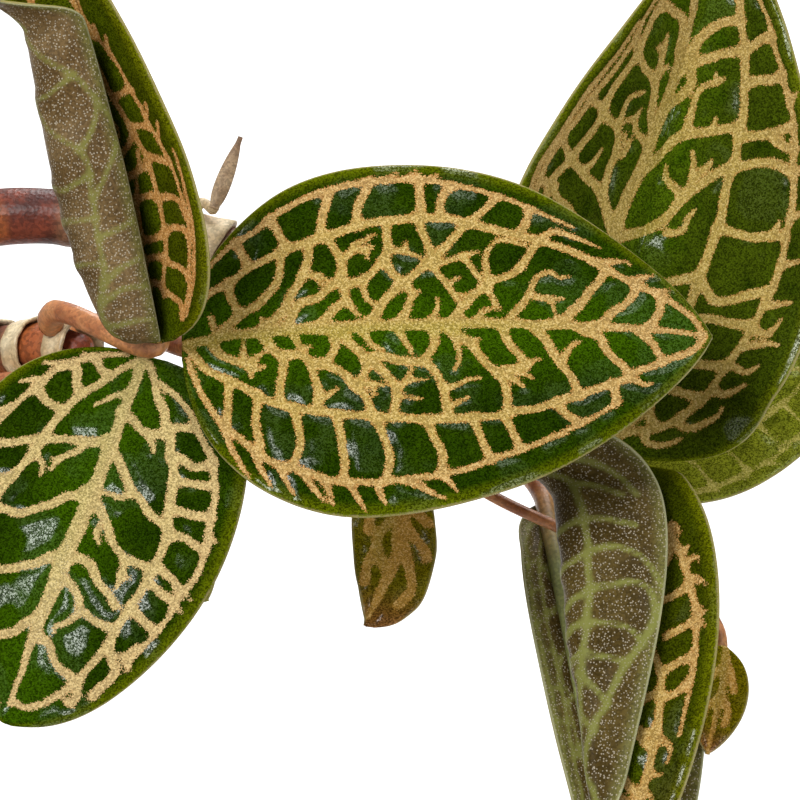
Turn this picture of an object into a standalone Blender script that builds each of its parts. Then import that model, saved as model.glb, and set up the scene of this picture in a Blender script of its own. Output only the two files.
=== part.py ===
"""A jewel orchid with four leafy shoots, growing in a plain terracotta pot.

All sizes are in millimetres and are scaled to metres where a mesh is made.
The origin is the middle of the pot's underside, +Z is up and -Y is the front.
"""

import math

import bmesh
import bpy
import numpy as np
from mathutils import Vector, noise

MM = 0.001

# Pot
POT_HEIGHT = 68.0
POT_TOP_RADIUS = 40.0
POT_FOOT_RADIUS = 28.0
POT_WALL = 4.2
POT_FLOOR = 6.0
RIM_BAND = 17.0
RIM_STEP = 2.4
RIM_INSET = 1.0
RIM_SLOPE = 0.7
RIM_ROUNDING = 1.4
LIP_FLAT = 1.1
FOOT_ROUNDING = 1.0
POT_SIDES = 40
DRAIN_RADIUS = 4.0
DRAIN_SIDES = 20
DRAIN_RING = 16.0
DRAIN_HOLES = 4

# Potting mix
MIX_TOP = 58.5
MIX_LUMP = 1.3
MIX_LUMP_SIZE = 6.5
MIX_LUMP_SLICE = 3.7
MIX_RINGS = 6
MIX_EDGE_SHARE = 0.1
MIX_SHOULDER = 3.0
FLOOR_CORNER = 2.0
FIT_GAP = 0.35
SOCKET_DEPTH = 1.5
SOCKET_RISE = 12.0

# Stems
STEM_FOOT_RADIUS = 4.2
STEM_END_RADIUS = 3.0
STEM_SIDES = 10
STEM_STEP = 7.0
STEM_TIP_SHARE = 0.85
FOOT_CAP = 0.3
END_CAP = 0.5

# Leaves
BLADE_THICKNESS = 0.8
BASE_HALF_WIDTH = 0.6
TIP_HALF_WIDTH = 0.3
PETIOLE_RADIUS = 1.25
RIB_END_RADIUS = 0.7
RIB_REACH = 0.22
RIB_TUCK = 0.25
RIB_STEPS = 3
PROFILE_STEPS = 8
TIP_FADE = 0.1
WAVE_FADE = 0.2
STALK_STEPS = 5
STALK_RISE = 0.55
STALK_START = 8.0
STALK_EARLY = 0.45
STALK_LATE = 0.3
PETIOLE_SIDES = 6
CUFF_WALL = 0.85
CUFF_SIDES = 8
CUFF_LENGTH = 3.2
CUFF_STEP = 3.5

# Each shoot is a smooth curve through these points, from its foot in the mix to its end.
SHOOTS = {
    1: [(4, 12, 42), (3, 14, 64), (2, 17, 95), (5, 17, 128), (12, 15, 150), (21, 9.5, 160.5),
        (32, 1.5, 166.5)],
    2: [(-6, 24, 42), (-7, 26, 64), (-9, 31, 100), (-4, 33, 138), (8, 32, 159), (20, 31, 166),
        (36, 29, 165.5), (54, 24, 162), (68, 16, 155), (79, 9, 149)],
    3: [(-9, -3, 42), (-11, -3, 64), (-20, -5, 92), (-33, -7, 118), (-41, -9, 136)],
    4: [(2, -17, 42), (1, -18, 64), (-2, -24, 84), (-7, -31, 99)],
}

# One half of a blade, from midrib to margin. It leaves the midrib at the angle lift and turns by
# curl between the fractions start and stop of its width. The exponents low and high set how
# full the outline is towards the base and towards the tip. Below the fraction fade of its length
# the lift and the curl are weaker. Past the first number in unroll the curl relaxes, and past
# the second one only the third's share of it is left.
HALF = dict(width=19, low=0.42, high=0.8, lift=4, curl=-10, start=0, stop=1, fade=0.16, unroll=None)

# A leaf clasps its shoot at the distance below from the shoot's end, on the side that side points
# to, with a cuff or a sheath of that length. Its blade begins at base and runs length mm along
# heading and pitch. Its upper face looks towards face, an azimuth from the front and an
# elevation. Angles are in degrees.
LEAVES = [
    dict(name="leaf_1_broad", shoot=1, below=9, arrive=0.1, side=(0.6, 1, -0.1), base=(44, -10, 175),
         heading=3, pitch=-1, length=60, face=(0, 58), arch=3, wave=(0.5, 2.2), rows=12, across=8,
         halves=dict(width=21, curl=-8), left=dict(low=0.55), right=dict(width=22.3, low=0.46)),
    dict(name="leaf_1_front", shoot=1, below=15, arrive=0.1, side=(-0.6, -1, -0.1), base=(39.6, -8.8, 172.6),
         heading=-115, pitch=-38, length=44.5, face=(-12, 55), arch=3, wave=(0.5, 1.6), across=8,
         halves=dict(curl=-12), left=dict(width=17.8, low=0.34, high=0.5),
         right=dict(width=16.8, low=0.42, high=0.6)),
    dict(name="leaf_1_upright", shoot=1, below=2.2, side=(-0.5, -0.1, 1), base=(41.6, -12, 176.8), heading=119,
         pitch=60, length=53, face=(0, 35), arch=-2, sway=1, across=14,
         left=dict(width=22, low=0.26, high=0.45, lift=-32, curl=265, start=0.05, fade=0.001,
                   unroll=(0.7, 0.84, 0.5)),
         right=dict(width=13.4, low=0.34, high=1.1, lift=52, curl=5, fade=0.001)),
    dict(name="leaf_1_under", shoot=1, below=21, stalk=0.8, side=(0.5, 0.1, -1), base=(40.5, -3.5, 165.5),
         heading=-70, pitch=-50, length=26, face=(-30, 50), rows=8, across=6,
         halves=dict(width=6, lift=10, curl=0)),
    dict(name="leaf_1_low", shoot=1, below=92, sheath=11, side=(1, -0.8, 0), base=(13, 8, 84), heading=-42,
         pitch=-5, length=54, face=(50, 68), arch=3, wave=(0.7, 1.9), halves=dict(width=19)),
    dict(name="leaf_1_back", shoot=1, below=62, sheath=10, side=(-1, -0.3, 0), base=(-8, 14, 112),
         heading=168, pitch=8, length=54, face=(-60, 62), arch=3, wave=(0.6, 1.7), halves=dict(width=18)),
    dict(name="leaf_2_tall", shoot=2, below=8, side=(0.3, 0.5, 1), base=(91, 5, 150), heading=65,
         pitch=57, length=67, face=(-10, 35), arch=-3,
         left=dict(width=24.3, low=0.55, high=1.15, lift=45, curl=20),
         right=dict(width=24, low=0.36, lift=12, curl=20)),
    dict(name="leaf_2_behind", shoot=2, below=14, side=(0.5, 1, 0), base=(93, 13, 143), heading=32,
         pitch=16, length=45, face=(10, 60), arch=3, halves=dict(width=15, curl=0)),
    dict(name="leaf_2_folded", shoot=2, below=20, side=(0.1, -1, 0.5), base=(87.6, -2, 153), heading=-86,
         pitch=-25, length=57, face=(0, 45), arch=4, across=14,
         left=dict(width=17, low=0.4, high=0.72, lift=12, curl=20),
         right=dict(width=18.5, low=0.5, high=1.5, lift=50, curl=130, start=0.1, stop=0.5,
                    unroll=(0.75, 0.92, 0.4))),
    dict(name="leaf_2_hanging", shoot=2, below=26, side=(-0.1, 0.5, -1), base=(86, 8, 139.5), heading=-82,
         pitch=-24, length=58, face=(180, -45), arch=-4,
         left=dict(width=5, low=0.35, lift=-30, curl=0),
         right=dict(width=15, low=0.4, high=0.6, lift=0, curl=0)),
    dict(name="leaf_2_crinkled", shoot=2, below=36, stalk=0.8, side=(-0.2, -0.4, -1), base=(68, 9.5, 143.5),
         heading=-101, pitch=-27, length=21, face=(0, 50), arch=1, wave=(0.9, 2.3), rows=10, across=6,
         halves=dict(lift=10), left=dict(width=6.8, low=0.55, high=0.4),
         right=dict(width=4.4, low=0.3, high=1)),
    dict(name="leaf_2_stalked", shoot=2, below=2, stalk=0.7, side=(0.2, -0.8, -0.6), base=(106.3, -15.5, 136),
         heading=-101, pitch=-26, length=13.8, face=(20, 50), rows=8, across=4,
         halves=dict(width=3.7, low=0.6, lift=15)),
    dict(name="leaf_2_low", shoot=2, below=158, sheath=11, side=(-0.3, 1, 0), base=(-11, 38, 98), heading=108,
         pitch=6, length=52, face=(180, 66), arch=3, wave=(0.6, 1.8), halves=dict(width=17.5)),
    dict(name="leaf_2_left", shoot=2, below=118, sheath=11, side=(-1, 0, 0), base=(-13, 33, 141), heading=196,
         pitch=34, length=50, face=(-80, 62), arch=2, wave=(0.5, 1.6), halves=dict(width=16.5)),
    dict(name="leaf_3_left", shoot=3, below=8, side=(-1, -0.1, 0), base=(-51, -11, 138), heading=190,
         pitch=5, length=55, face=(-70, 66), arch=3, wave=(0.6, 2.1), halves=dict(width=19)),
    dict(name="leaf_3_back", shoot=3, below=14, side=(0, 1, 0), base=(-38, 4, 134), heading=94,
         pitch=18, length=48, face=(180, 60), arch=3, wave=(0.6, 1.7), halves=dict(width=17)),
    dict(name="leaf_3_front", shoot=3, below=20, side=(0.3, -1, 0), base=(-37, -18, 133), heading=-74,
         pitch=-3, length=50, face=(10, 62), arch=3, wave=(0.6, 1.8), halves=dict(width=18)),
    dict(name="leaf_3_young", shoot=3, below=2, side=(0.8, -0.2, 0.4), base=(-40, -10, 144), heading=150,
         pitch=66, length=40, face=(20, 25), across=10,
         left=dict(width=11, lift=40, curl=60), right=dict(width=11, lift=35, curl=40)),
    dict(name="leaf_3_low", shoot=3, below=46, sheath=10, side=(-0.6, -1, 0), base=(-30, -14, 104),
         heading=222, pitch=-8, length=50, face=(-40, 66), arch=3, wave=(0.7, 1.7), halves=dict(width=17.5)),
    dict(name="leaf_4_front", shoot=4, below=8, side=(0, -1, 0), base=(-9, -40, 102), heading=-101,
         pitch=2, length=46, face=(0, 64), arch=3, wave=(0.5, 1.8), halves=dict(width=16)),
    dict(name="leaf_4_right", shoot=4, below=14, side=(1, 0, 0), base=(4, -29, 97), heading=-14,
         pitch=4, length=44, face=(70, 66), arch=2, wave=(0.5, 1.7), halves=dict(width=15.5)),
    dict(name="leaf_4_left", shoot=4, below=20, side=(-1, 0.2, 0), base=(-13, -25, 93), heading=196,
         pitch=6, length=40, face=(-60, 62), arch=2, wave=(0.5, 1.6), halves=dict(width=14)),
    dict(name="leaf_4_young", shoot=4, below=2, stalk=0.9, side=(0.3, 0.5, 0.5), base=(-7, -31, 107),
         heading=-70, pitch=70, length=28, face=(0, -20), rows=8, across=8,
         left=dict(width=7, lift=45, curl=60), right=dict(width=7, lift=40, curl=50)),
    dict(name="dry_bract", shoot=2, below=44, sheath=8, side=(-0.2, 0.6, 1), base=(46, 27, 169.7),
         heading=64, pitch=40, length=9.5, face=(0, 40), rows=8, across=4, stalk=0.6, dry=True,
         halves=dict(width=1, lift=0, curl=0)),
]


def unit(vector):
    return vector / np.linalg.norm(vector, axis=-1, keepdims=True)


def ease(x):
    x = np.clip(x, 0, 1)
    return x * x * (3 - 2 * x)


def across_to(vector, axis):
    """The part of vector square to the unit vector axis, as a unit vector."""
    return unit(vector - axis * np.sum(vector * axis, axis=-1, keepdims=True))


# Materials and objects

def material(name, colour, roughness):
    made = bpy.data.materials.new(name)
    made.use_nodes = True
    shader = made.node_tree.nodes["Principled BSDF"]
    shader.inputs["Base Color"].default_value = (*colour, 1)
    shader.inputs["Roughness"].default_value = roughness
    shader.inputs["Metallic"].default_value = 0
    return made


def add_object(name, vertices, faces, look=None):
    """A mesh object from points in millimetres, with its faces turned outwards."""
    mesh = bpy.data.meshes.new(name)
    mesh.from_pydata([tuple(float(c) * MM for c in v) for v in vertices], [], faces)
    shell = bmesh.new()
    shell.from_mesh(mesh)
    bmesh.ops.recalc_face_normals(shell, faces=shell.faces)
    if shell.calc_volume(signed=True) < 0:
        bmesh.ops.reverse_faces(shell, faces=shell.faces)
    shell.to_mesh(mesh)
    shell.free()
    if look:
        mesh.materials.append(look)
    made = bpy.data.objects.new(name, mesh)
    bpy.context.collection.objects.link(made)
    return made


def combine(target, tool, operation, solver="EXACT"):
    """Unite tool with target, or cut it out of target, and take tool away."""
    look = target.data.materials[0]
    modifier = target.modifiers.new(operation.lower(), "BOOLEAN")
    modifier.operation = operation
    modifier.solver = solver
    modifier.object = tool
    graph = bpy.context.evaluated_depsgraph_get()
    mesh = bpy.data.meshes.new_from_object(target.evaluated_get(graph))
    target.modifiers.clear()
    target.data = mesh
    mesh.materials.clear()
    mesh.materials.append(look)
    bpy.data.objects.remove(tool)


def shade(target, angle=40):
    target.data.shade_smooth()
    target.data.set_sharp_from_angle(angle=math.radians(angle))


# Turned and swept shapes

def turned(name, profile, look):
    """A solid turned about Z from a profile of (radius, height) that starts and ends on the axis."""
    vertices = [(0, 0, profile[0][1])]
    for radius, height in profile[1:-1]:
        for k in range(POT_SIDES):
            turn = 2 * math.pi * k / POT_SIDES
            vertices.append((radius * math.cos(turn), radius * math.sin(turn), height))
    vertices.append((0, 0, profile[-1][1]))
    return add_object(name, vertices, ring_faces(len(profile) - 2, POT_SIDES), look)


def ring_faces(rings, sides):
    """Faces between rings of vertices, with a fan to the first and to the last vertex."""
    last = 1 + rings * sides
    faces = []
    for k in range(sides):
        after = (k + 1) % sides
        faces.append((0, 1 + k, 1 + after))
        faces.append((last, last - sides + after, last - sides + k))
        for ring in range(rings - 1):
            low = 1 + ring * sides
            faces.append((low + k, low + sides + k, low + sides + after, low + after))
    return faces


def curve_through(points, step):
    """Points about step mm apart on a smooth curve through the given ones."""
    points = np.array(points, float)
    ends = np.vstack([2 * points[0] - points[1], points, 2 * points[-1] - points[-2]])
    found = []
    for k in range(1, len(ends) - 2):
        a, b, c, d = ends[k - 1:k + 3]
        count = max(2, round(np.linalg.norm(c - b) / step))
        for t in np.arange(count) / count:
            found.append(0.5 * (2 * b + (c - a) * t + (2 * a - 5 * b + 4 * c - d) * t * t
                                + (3 * b - a - 3 * c + d) * t ** 3))
    found.append(points[-1])
    return np.array(found)


def carried_sides(path, first=(1.0, 0.3, 0.1)):
    """Unit tangents along a path, and a side vector carried along it without twisting."""
    tangents = unit(np.gradient(path, axis=0))
    side = across_to(np.array(first, float), tangents[0])
    sides = []
    for tangent in tangents:
        side = across_to(side, tangent)
        sides.append(side)
    return tangents, np.array(sides)


def tube(name, path, radii, count, look=None):
    """A round tube along path with a radius at each point and a pointed cap at each end."""
    tangents, sides = carried_sides(path)
    others = np.cross(tangents, sides)
    vertices = [path[0] - tangents[0] * radii[0] * FOOT_CAP]
    for point, side, other, radius in zip(path, sides, others, radii):
        for k in range(count):
            turn = 2 * math.pi * k / count
            vertices.append(point + radius * (side * math.cos(turn) + other * math.sin(turn)))
    vertices.append(path[-1] + tangents[-1] * radii[-1] * END_CAP)
    return add_object(name, vertices, ring_faces(len(path), count), look)


# Shoots

class Shoot:
    """The middle line and the thickness of one stem."""

    def __init__(self, points):
        self.path = curve_through(points, STEM_STEP)
        steps = np.linalg.norm(np.diff(self.path, axis=0), axis=1)
        self.along = np.concatenate([[0], np.cumsum(steps)])
        self.length = self.along[-1]

    def point(self, distance):
        return np.array([np.interp(distance, self.along, self.path[:, k]) for k in range(3)])

    def tangent(self, distance):
        return unit(self.point(distance + 1) - self.point(distance - 1))

    def radius(self, distance):
        share = np.clip(np.asarray(distance) / self.length, 0, 1)
        return STEM_FOOT_RADIUS + (STEM_END_RADIUS - STEM_FOOT_RADIUS) * share ** 1.5


def stem(number, shoot, look):
    radii = shoot.radius(shoot.along)
    radii[-1] *= STEM_TIP_SHARE
    made = tube(f"stem_{number}", shoot.path, radii, STEM_SIDES, look)
    shade(made)
    return made


def socket(shoot):
    """The cutter for the hole in which a stem stands."""
    inside = shoot.path[:, 2] < MIX_TOP + SOCKET_RISE
    path = shoot.path[inside].copy()
    path[0] -= shoot.tangent(1) * SOCKET_DEPTH
    radii = shoot.radius(shoot.along[inside]) + FIT_GAP
    return tube("socket", path, radii, STEM_SIDES)


# Leaves

def half_profile(half, u, columns):
    """Offsets sideways and upwards, per mm of half-width, from midrib to margin at each u."""
    spread = ease(u / half["fade"]) * ease((1 - u) / TIP_FADE)
    curl = half["curl"] * spread
    if half["unroll"]:
        begin, end, rest = half["unroll"]
        curl = curl * (1 - (1 - rest) * ease((u - begin) / (end - begin)))
    steps = columns * PROFILE_STEPS
    share = (np.arange(steps) + 0.5) / steps
    turned_by = np.clip((share - half["start"]) / (half["stop"] - half["start"]), 0, 1)
    angle = np.radians((half["lift"] * spread)[:, None] + curl[:, None] * turned_by)
    across = np.cumsum(np.cos(angle), axis=1)[:, PROFILE_STEPS - 1::PROFILE_STEPS] / steps
    up = np.cumsum(np.sin(angle), axis=1)[:, PROFILE_STEPS - 1::PROFILE_STEPS] / steps
    return across, up


def half_width(half, u):
    low, high = half["low"], half["high"]
    full = low / (low + high)
    shape = u ** low * (1 - u) ** high / (full ** low * (1 - full) ** high)
    least = BASE_HALF_WIDTH + (TIP_HALF_WIDTH - BASE_HALF_WIDTH) * u
    return np.maximum(half["width"] * shape, least)


def direction(heading, pitch):
    heading, pitch = math.radians(heading), math.radians(pitch)
    level = math.cos(pitch)
    return np.array([math.cos(heading) * level, math.sin(heading) * level, math.sin(pitch)])


def midrib(leaf, u):
    """Points, directions and upward normals along the midrib of a leaf."""
    chord = direction(leaf["heading"], leaf["pitch"]) * leaf["length"]
    azimuth, elevation = leaf["face"]
    face = across_to(direction(azimuth - 90, elevation), unit(chord))
    side = unit(np.cross(chord, face))
    arch, sway = leaf.get("arch", 0), leaf.get("sway", 0)
    bow = (4 * u * (1 - u))[:, None]
    slope = (4 * (1 - 2 * u))[:, None]
    points = np.array(leaf["base"]) + chord * u[:, None] + (face * arch + side * sway) * bow
    along = unit(chord + (face * arch + side * sway) * slope)
    sides = unit(np.cross(along, face))
    return points, along, np.cross(sides, along)


def blade_surface(leaf, rows, columns):
    """The blade's middle surface as points[row, column], from base to tip and side to side."""
    u = 0.5 - 0.5 * np.cos(np.pi * np.arange(rows + 1) / rows)
    points, along, normals = midrib(leaf, u)
    sides = np.cross(along, normals)
    surface = np.zeros((rows + 1, 2 * columns + 1, 3))
    surface[:, columns] = points
    height, count = leaf.get("wave", (0, 1))
    for sign, key in ((1, "right"), (-1, "left")):
        half = {**HALF, **leaf.get("halves", {}), **leaf.get(key, {})}
        across, up = half_profile(half, u, columns)
        width = half_width(half, u)
        for k in range(columns):
            share = (k + 1) / columns
            ripple = height * share ** 2 * np.sin(2 * math.pi * count * u + sign)
            calm = ease(u / WAVE_FADE) * ease((1 - u) / WAVE_FADE)
            lifted = up[:, k] * width + ripple * calm
            offset = sides * (sign * across[:, k] * width)[:, None] + normals * lifted[:, None]
            surface[:, columns + sign * (k + 1)] = points + offset
    return surface


def surface_normals(surface):
    return unit(np.cross(np.gradient(surface, axis=1), np.gradient(surface, axis=0)))


def blade(leaf, look):
    """A thin closed blade, with the same triangles on its upper and its lower face."""
    rows, across = leaf.get("rows", 9), leaf.get("across", 6)
    surface = blade_surface(leaf, rows, across // 2)
    lift = surface_normals(surface) * BLADE_THICKNESS / 2
    count = across + 1
    vertices = np.vstack([(surface + lift).reshape(-1, 3), (surface - lift).reshape(-1, 3)])
    under = (rows + 1) * count
    faces = []
    for i in range(rows):
        for j in range(across):
            a, b = i * count + j, i * count + j + 1
            c, d = b + count, a + count
            for corner in ((a, b, c), (a, c, d)):
                faces.append(corner)
                faces.append(tuple(under + k for k in reversed(corner)))
    rim = [i * count for i in range(rows, 0, -1)] + list(range(across))
    rim += [i * count + across for i in range(rows)]
    rim += [rows * count + j for j in range(across, 0, -1)]
    for a, b in zip(rim, rim[1:] + rim[:1]):
        faces.append((a, b, under + b))
        faces.append((a, under + b, under + a))
    return add_object(leaf["name"], vertices, faces, look)


def petiole_path(leaf, shoot):
    """The leaf stalk, from its cuff along the shoot to the blade and on under its midrib."""
    distance = shoot.length - leaf["below"]
    here, tangent = shoot.point(distance), shoot.tangent(distance)
    side = across_to(np.array(leaf["side"], float), tangent)
    leave = tangent * STALK_RISE + side * math.sqrt(1 - STALK_RISE ** 2)
    thick = leaf.get("stalk", PETIOLE_RADIUS)
    start = here + side * (cuff_bore(leaf, shoot) + CUFF_WALL / 2 + thick * STALK_RISE)
    points, along, normals = midrib(leaf, np.linspace(0.02, RIB_REACH, RIB_STEPS))
    radii = np.linspace(thick, min(thick, RIB_END_RADIUS), RIB_STEPS)
    rib = points - normals * (radii - RIB_TUCK)[:, None]
    end = rib[0]
    reach = np.linalg.norm(end - start)
    t = np.linspace(0, 1, STALK_STEPS + 1)[:-1, None]
    early = start + leave * min(reach * STALK_EARLY, STALK_START)
    late = end - along[0] * reach * leaf.get("arrive", STALK_LATE)
    stalk = ((1 - t) ** 3 * start + 3 * t * (1 - t) ** 2 * early + 3 * t * t * (1 - t) * late
             + t ** 3 * end)
    return np.vstack([stalk, rib]), np.concatenate([np.full(STALK_STEPS, thick), radii])


def cuff_bore(leaf, shoot):
    """The corner radius of a cuff's bore, whose flats keep the fit gap to the stem."""
    widest = shoot.radius(shoot.length - leaf["below"] - leaf.get("sheath", CUFF_LENGTH) / 2)
    return (widest + FIT_GAP) / math.cos(math.pi / CUFF_SIDES)


def cuff(leaf, shoot):
    """The short sheath with which a leaf stalk clasps its shoot, with a corner at the stalk."""
    length = leaf.get("sheath", CUFF_LENGTH)
    count = 1 + math.ceil(length / CUFF_STEP)
    stations = shoot.length - leaf["below"] + np.linspace(-0.5, 0.5, count) * length
    path = np.array([shoot.point(s) for s in stations])
    tangents, sides = carried_sides(path, leaf["side"])
    others = np.cross(tangents, sides)
    bore = cuff_bore(leaf, shoot)
    rings = []
    for radius, order in ((bore + CUFF_WALL, range(count)), (bore, reversed(range(count)))):
        for k in order:
            turns = 2 * math.pi * np.arange(CUFF_SIDES)[:, None] / CUFF_SIDES
            rings.append(path[k] + radius * (sides[k] * np.cos(turns) + others[k] * np.sin(turns)))
    faces = []
    for ring in range(len(rings)):
        low, high = ring * CUFF_SIDES, (ring + 1) % len(rings) * CUFF_SIDES
        for k in range(CUFF_SIDES):
            after = (k + 1) % CUFF_SIDES
            faces.append((low + k, high + k, high + after, low + after))
    return add_object("cuff", np.vstack(rings), faces)


def leaf_object(leaf, shoot, look):
    made = blade(leaf, look)
    path, radii = petiole_path(leaf, shoot)
    combine(made, tube("petiole", path, radii, PETIOLE_SIDES), "UNION", "MANIFOLD")
    combine(made, cuff(leaf, shoot), "UNION", "MANIFOLD")
    shade(made)
    return made


# Pot and potting mix

def inner_radius(height):
    """The pot's inner radius at a height above its floor."""
    share = (height - POT_FLOOR) / (POT_HEIGHT - POT_FLOOR)
    foot = POT_FOOT_RADIUS - POT_WALL
    return foot + (POT_TOP_RADIUS - POT_WALL - foot) * share


def pot(look):
    band = POT_HEIGHT - RIM_BAND
    under_band = inner_radius(band) + POT_WALL - RIM_INSET
    lip, corner = POT_HEIGHT - RIM_ROUNDING, POT_FLOOR + FLOOR_CORNER
    profile = [
        (0, 0), (POT_FOOT_RADIUS - FOOT_ROUNDING, 0), (POT_FOOT_RADIUS, FOOT_ROUNDING),
        (under_band, band - RIM_SLOPE), (under_band + RIM_STEP, band + RIM_SLOPE),
        (POT_TOP_RADIUS, lip), (POT_TOP_RADIUS - LIP_FLAT, POT_HEIGHT),
        (inner_radius(POT_HEIGHT) + LIP_FLAT, POT_HEIGHT), (inner_radius(lip), lip),
        (inner_radius(corner), corner), (inner_radius(POT_FLOOR) - FLOOR_CORNER, POT_FLOOR), (0, POT_FLOOR),
    ]
    made = turned("pot", profile, look)
    for k in range(DRAIN_HOLES):
        turn = 2 * math.pi * (k + 0.5) / DRAIN_HOLES
        place = np.array([DRAIN_RING * math.cos(turn), DRAIN_RING * math.sin(turn), 0])
        heights = np.array([[0, 0, -POT_FLOOR], [0, 0, 2 * POT_FLOOR]])
        drain = tube("drain", place + heights, [DRAIN_RADIUS] * 2, DRAIN_SIDES)
        combine(made, drain, "DIFFERENCE")
    shade(made, 30)
    return made


def potting_mix(shoots, look):
    """Bark mix that fills the pot, with a lumpy top and a hole for each stem."""
    foot = POT_FLOOR + FIT_GAP
    corner, shoulder = foot + FLOOR_CORNER, MIX_TOP - MIX_SHOULDER
    wide, edge = inner_radius(corner) - FIT_GAP, inner_radius(shoulder) - FIT_GAP
    vertices = [(0, 0, foot)]
    for radius, height in ((wide - FLOOR_CORNER, foot), (wide, corner), (edge, shoulder)):
        for k in range(POT_SIDES):
            turn = 2 * math.pi * k / POT_SIDES
            vertices.append((radius * math.cos(turn), radius * math.sin(turn), height))
    for ring in range(MIX_RINGS):
        radius = edge * (MIX_RINGS - ring - MIX_EDGE_SHARE) / MIX_RINGS
        for k in range(POT_SIDES):
            turn = 2 * math.pi * k / POT_SIDES
            x, y = radius * math.cos(turn), radius * math.sin(turn)
            lump = noise.noise(Vector((x, y, MIX_LUMP_SLICE)) / MIX_LUMP_SIZE)
            vertices.append((x, y, MIX_TOP + MIX_LUMP * lump))
    vertices.append((0, 0, MIX_TOP))
    made = add_object("potting_mix", vertices, ring_faces(3 + MIX_RINGS, POT_SIDES), look)
    for shoot in shoots:
        combine(made, socket(shoot), "DIFFERENCE")
    shade(made, 30)
    return made


def build():
    for old in list(bpy.data.objects):
        bpy.data.objects.remove(old, do_unlink=True)
    terracotta = material("terracotta", (0.52, 0.19, 0.09), 0.85)
    bark = material("bark mix", (0.10, 0.05, 0.025), 0.9)
    flesh = material("stem flesh", (0.33, 0.11, 0.06), 0.45)
    green = material("leaf green", (0.035, 0.10, 0.012), 0.4)
    straw = material("dry bract", (0.32, 0.20, 0.10), 0.6)
    shoots = {number: Shoot(points) for number, points in SHOOTS.items()}
    pot(terracotta)
    potting_mix(shoots.values(), bark)
    for number, shoot in shoots.items():
        stem(number, shoot, flesh)
    for leaf in LEAVES:
        leaf_object(leaf, shoots[leaf["shoot"]], straw if leaf.get("dry") else green)


build()
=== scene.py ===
"""The visible surfaces of a potted jewel orchid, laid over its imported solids.

Sizes are in millimetres, in the same frame as the solids, and are scaled to metres where a mesh
is made. The shoots and the leaves repeat the values from which the solids were made.
"""

import math
import random

import bmesh
import bpy
import numpy as np
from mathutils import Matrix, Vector, noise

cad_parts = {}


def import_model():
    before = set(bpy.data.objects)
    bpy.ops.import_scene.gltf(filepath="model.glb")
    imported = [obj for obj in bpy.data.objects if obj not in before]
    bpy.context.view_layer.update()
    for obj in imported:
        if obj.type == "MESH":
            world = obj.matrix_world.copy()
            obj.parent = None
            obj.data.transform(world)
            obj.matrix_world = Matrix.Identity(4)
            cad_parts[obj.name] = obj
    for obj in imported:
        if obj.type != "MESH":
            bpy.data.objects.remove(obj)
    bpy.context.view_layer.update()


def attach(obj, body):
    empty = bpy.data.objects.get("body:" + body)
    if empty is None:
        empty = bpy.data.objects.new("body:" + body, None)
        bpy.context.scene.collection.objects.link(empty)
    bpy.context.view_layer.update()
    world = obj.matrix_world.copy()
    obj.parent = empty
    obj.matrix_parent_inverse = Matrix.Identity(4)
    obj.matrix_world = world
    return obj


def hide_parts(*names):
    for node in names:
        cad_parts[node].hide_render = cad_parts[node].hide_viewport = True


MM = 0.001

# Tubes
FIRST_SIDE = (1.0, 0.3, 0.1)
FOOT_CAP = 0.3
END_CAP = 0.5

# Camera and stage
VIEW_ELEVATION = 35.0
VIEW_DISTANCE = 475.0
VIEW_TARGET = (68.48, -13.56, 169.92)
VIEW_WIDTH = 90.16
SENSOR_WIDTH = 36.0
FLOOR_SIZE = 3000.0
LIGHTS_AIM = (60, 0, 150)
SHEET_AIM = (80, 0, 170)

# Pot
POT_HEIGHT = 68.0
POT_TOP_RADIUS = 40.0
POT_FOOT_RADIUS = 28.0
POT_WALL = 4.2
POT_FLOOR = 6.0
RIM_BAND = 17.0
RIM_STEP = 2.4
PROFILE_SPACING = 1.6
POT_SIDES = 144
DRAIN_RADIUS = 4.0
DRAIN_RING = 16.0
DRAIN_HOLES = 4
DRAIN_SIDES = 32

# Potting mix
MIX_TOP = 58.5
MIX_RINGS = 44
FIT_GAP = 0.35
BARK_CHIPS = 330
CHIP_SIZES = (1.5, 3.6)
LARGE_CHIP = 1.4
PERLITE_GRAINS = 46
GRAIN_SIZES = (0.7, 1.5)
MOSS_STRANDS = 70
MOSS_RADIUS = 0.24
MOSS_STEP = 2.3
MOSS_STEPS = 7
PLACE_TRIES = 60
# The least distances from the pot's wall and from a stem's middle.
CHIP_ROOM = (3.6, 6.2)
GRAIN_ROOM = (2.4, 5.6)
MOSS_ROOM = (8, 8.0)

# Stems
STEM_FOOT_RADIUS = 4.2
STEM_END_RADIUS = 3.0
STEM_STEP = 7.0
STEM_FINE_STEP = 0.7
STEM_SIDES = 28
STEM_END_SHARE = 0.6
BUD_LENGTHS = {3: 6.5, 4: 6.0}
BUD_RINGS = 9
RING_SPACING = 19.0
LOWEST_RING = 30
BARE_END = 34
RING_WIDTH = 1.1
RING_HEIGHT = 0.16
STEM_RIDGES = 7
STEM_RIDGE_HEIGHT = 0.05
STEM_LUMP_HEIGHT = 0.12
STEM_LUMP_SIZE = 5.0
STEM_TUCK = 0.08

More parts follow.
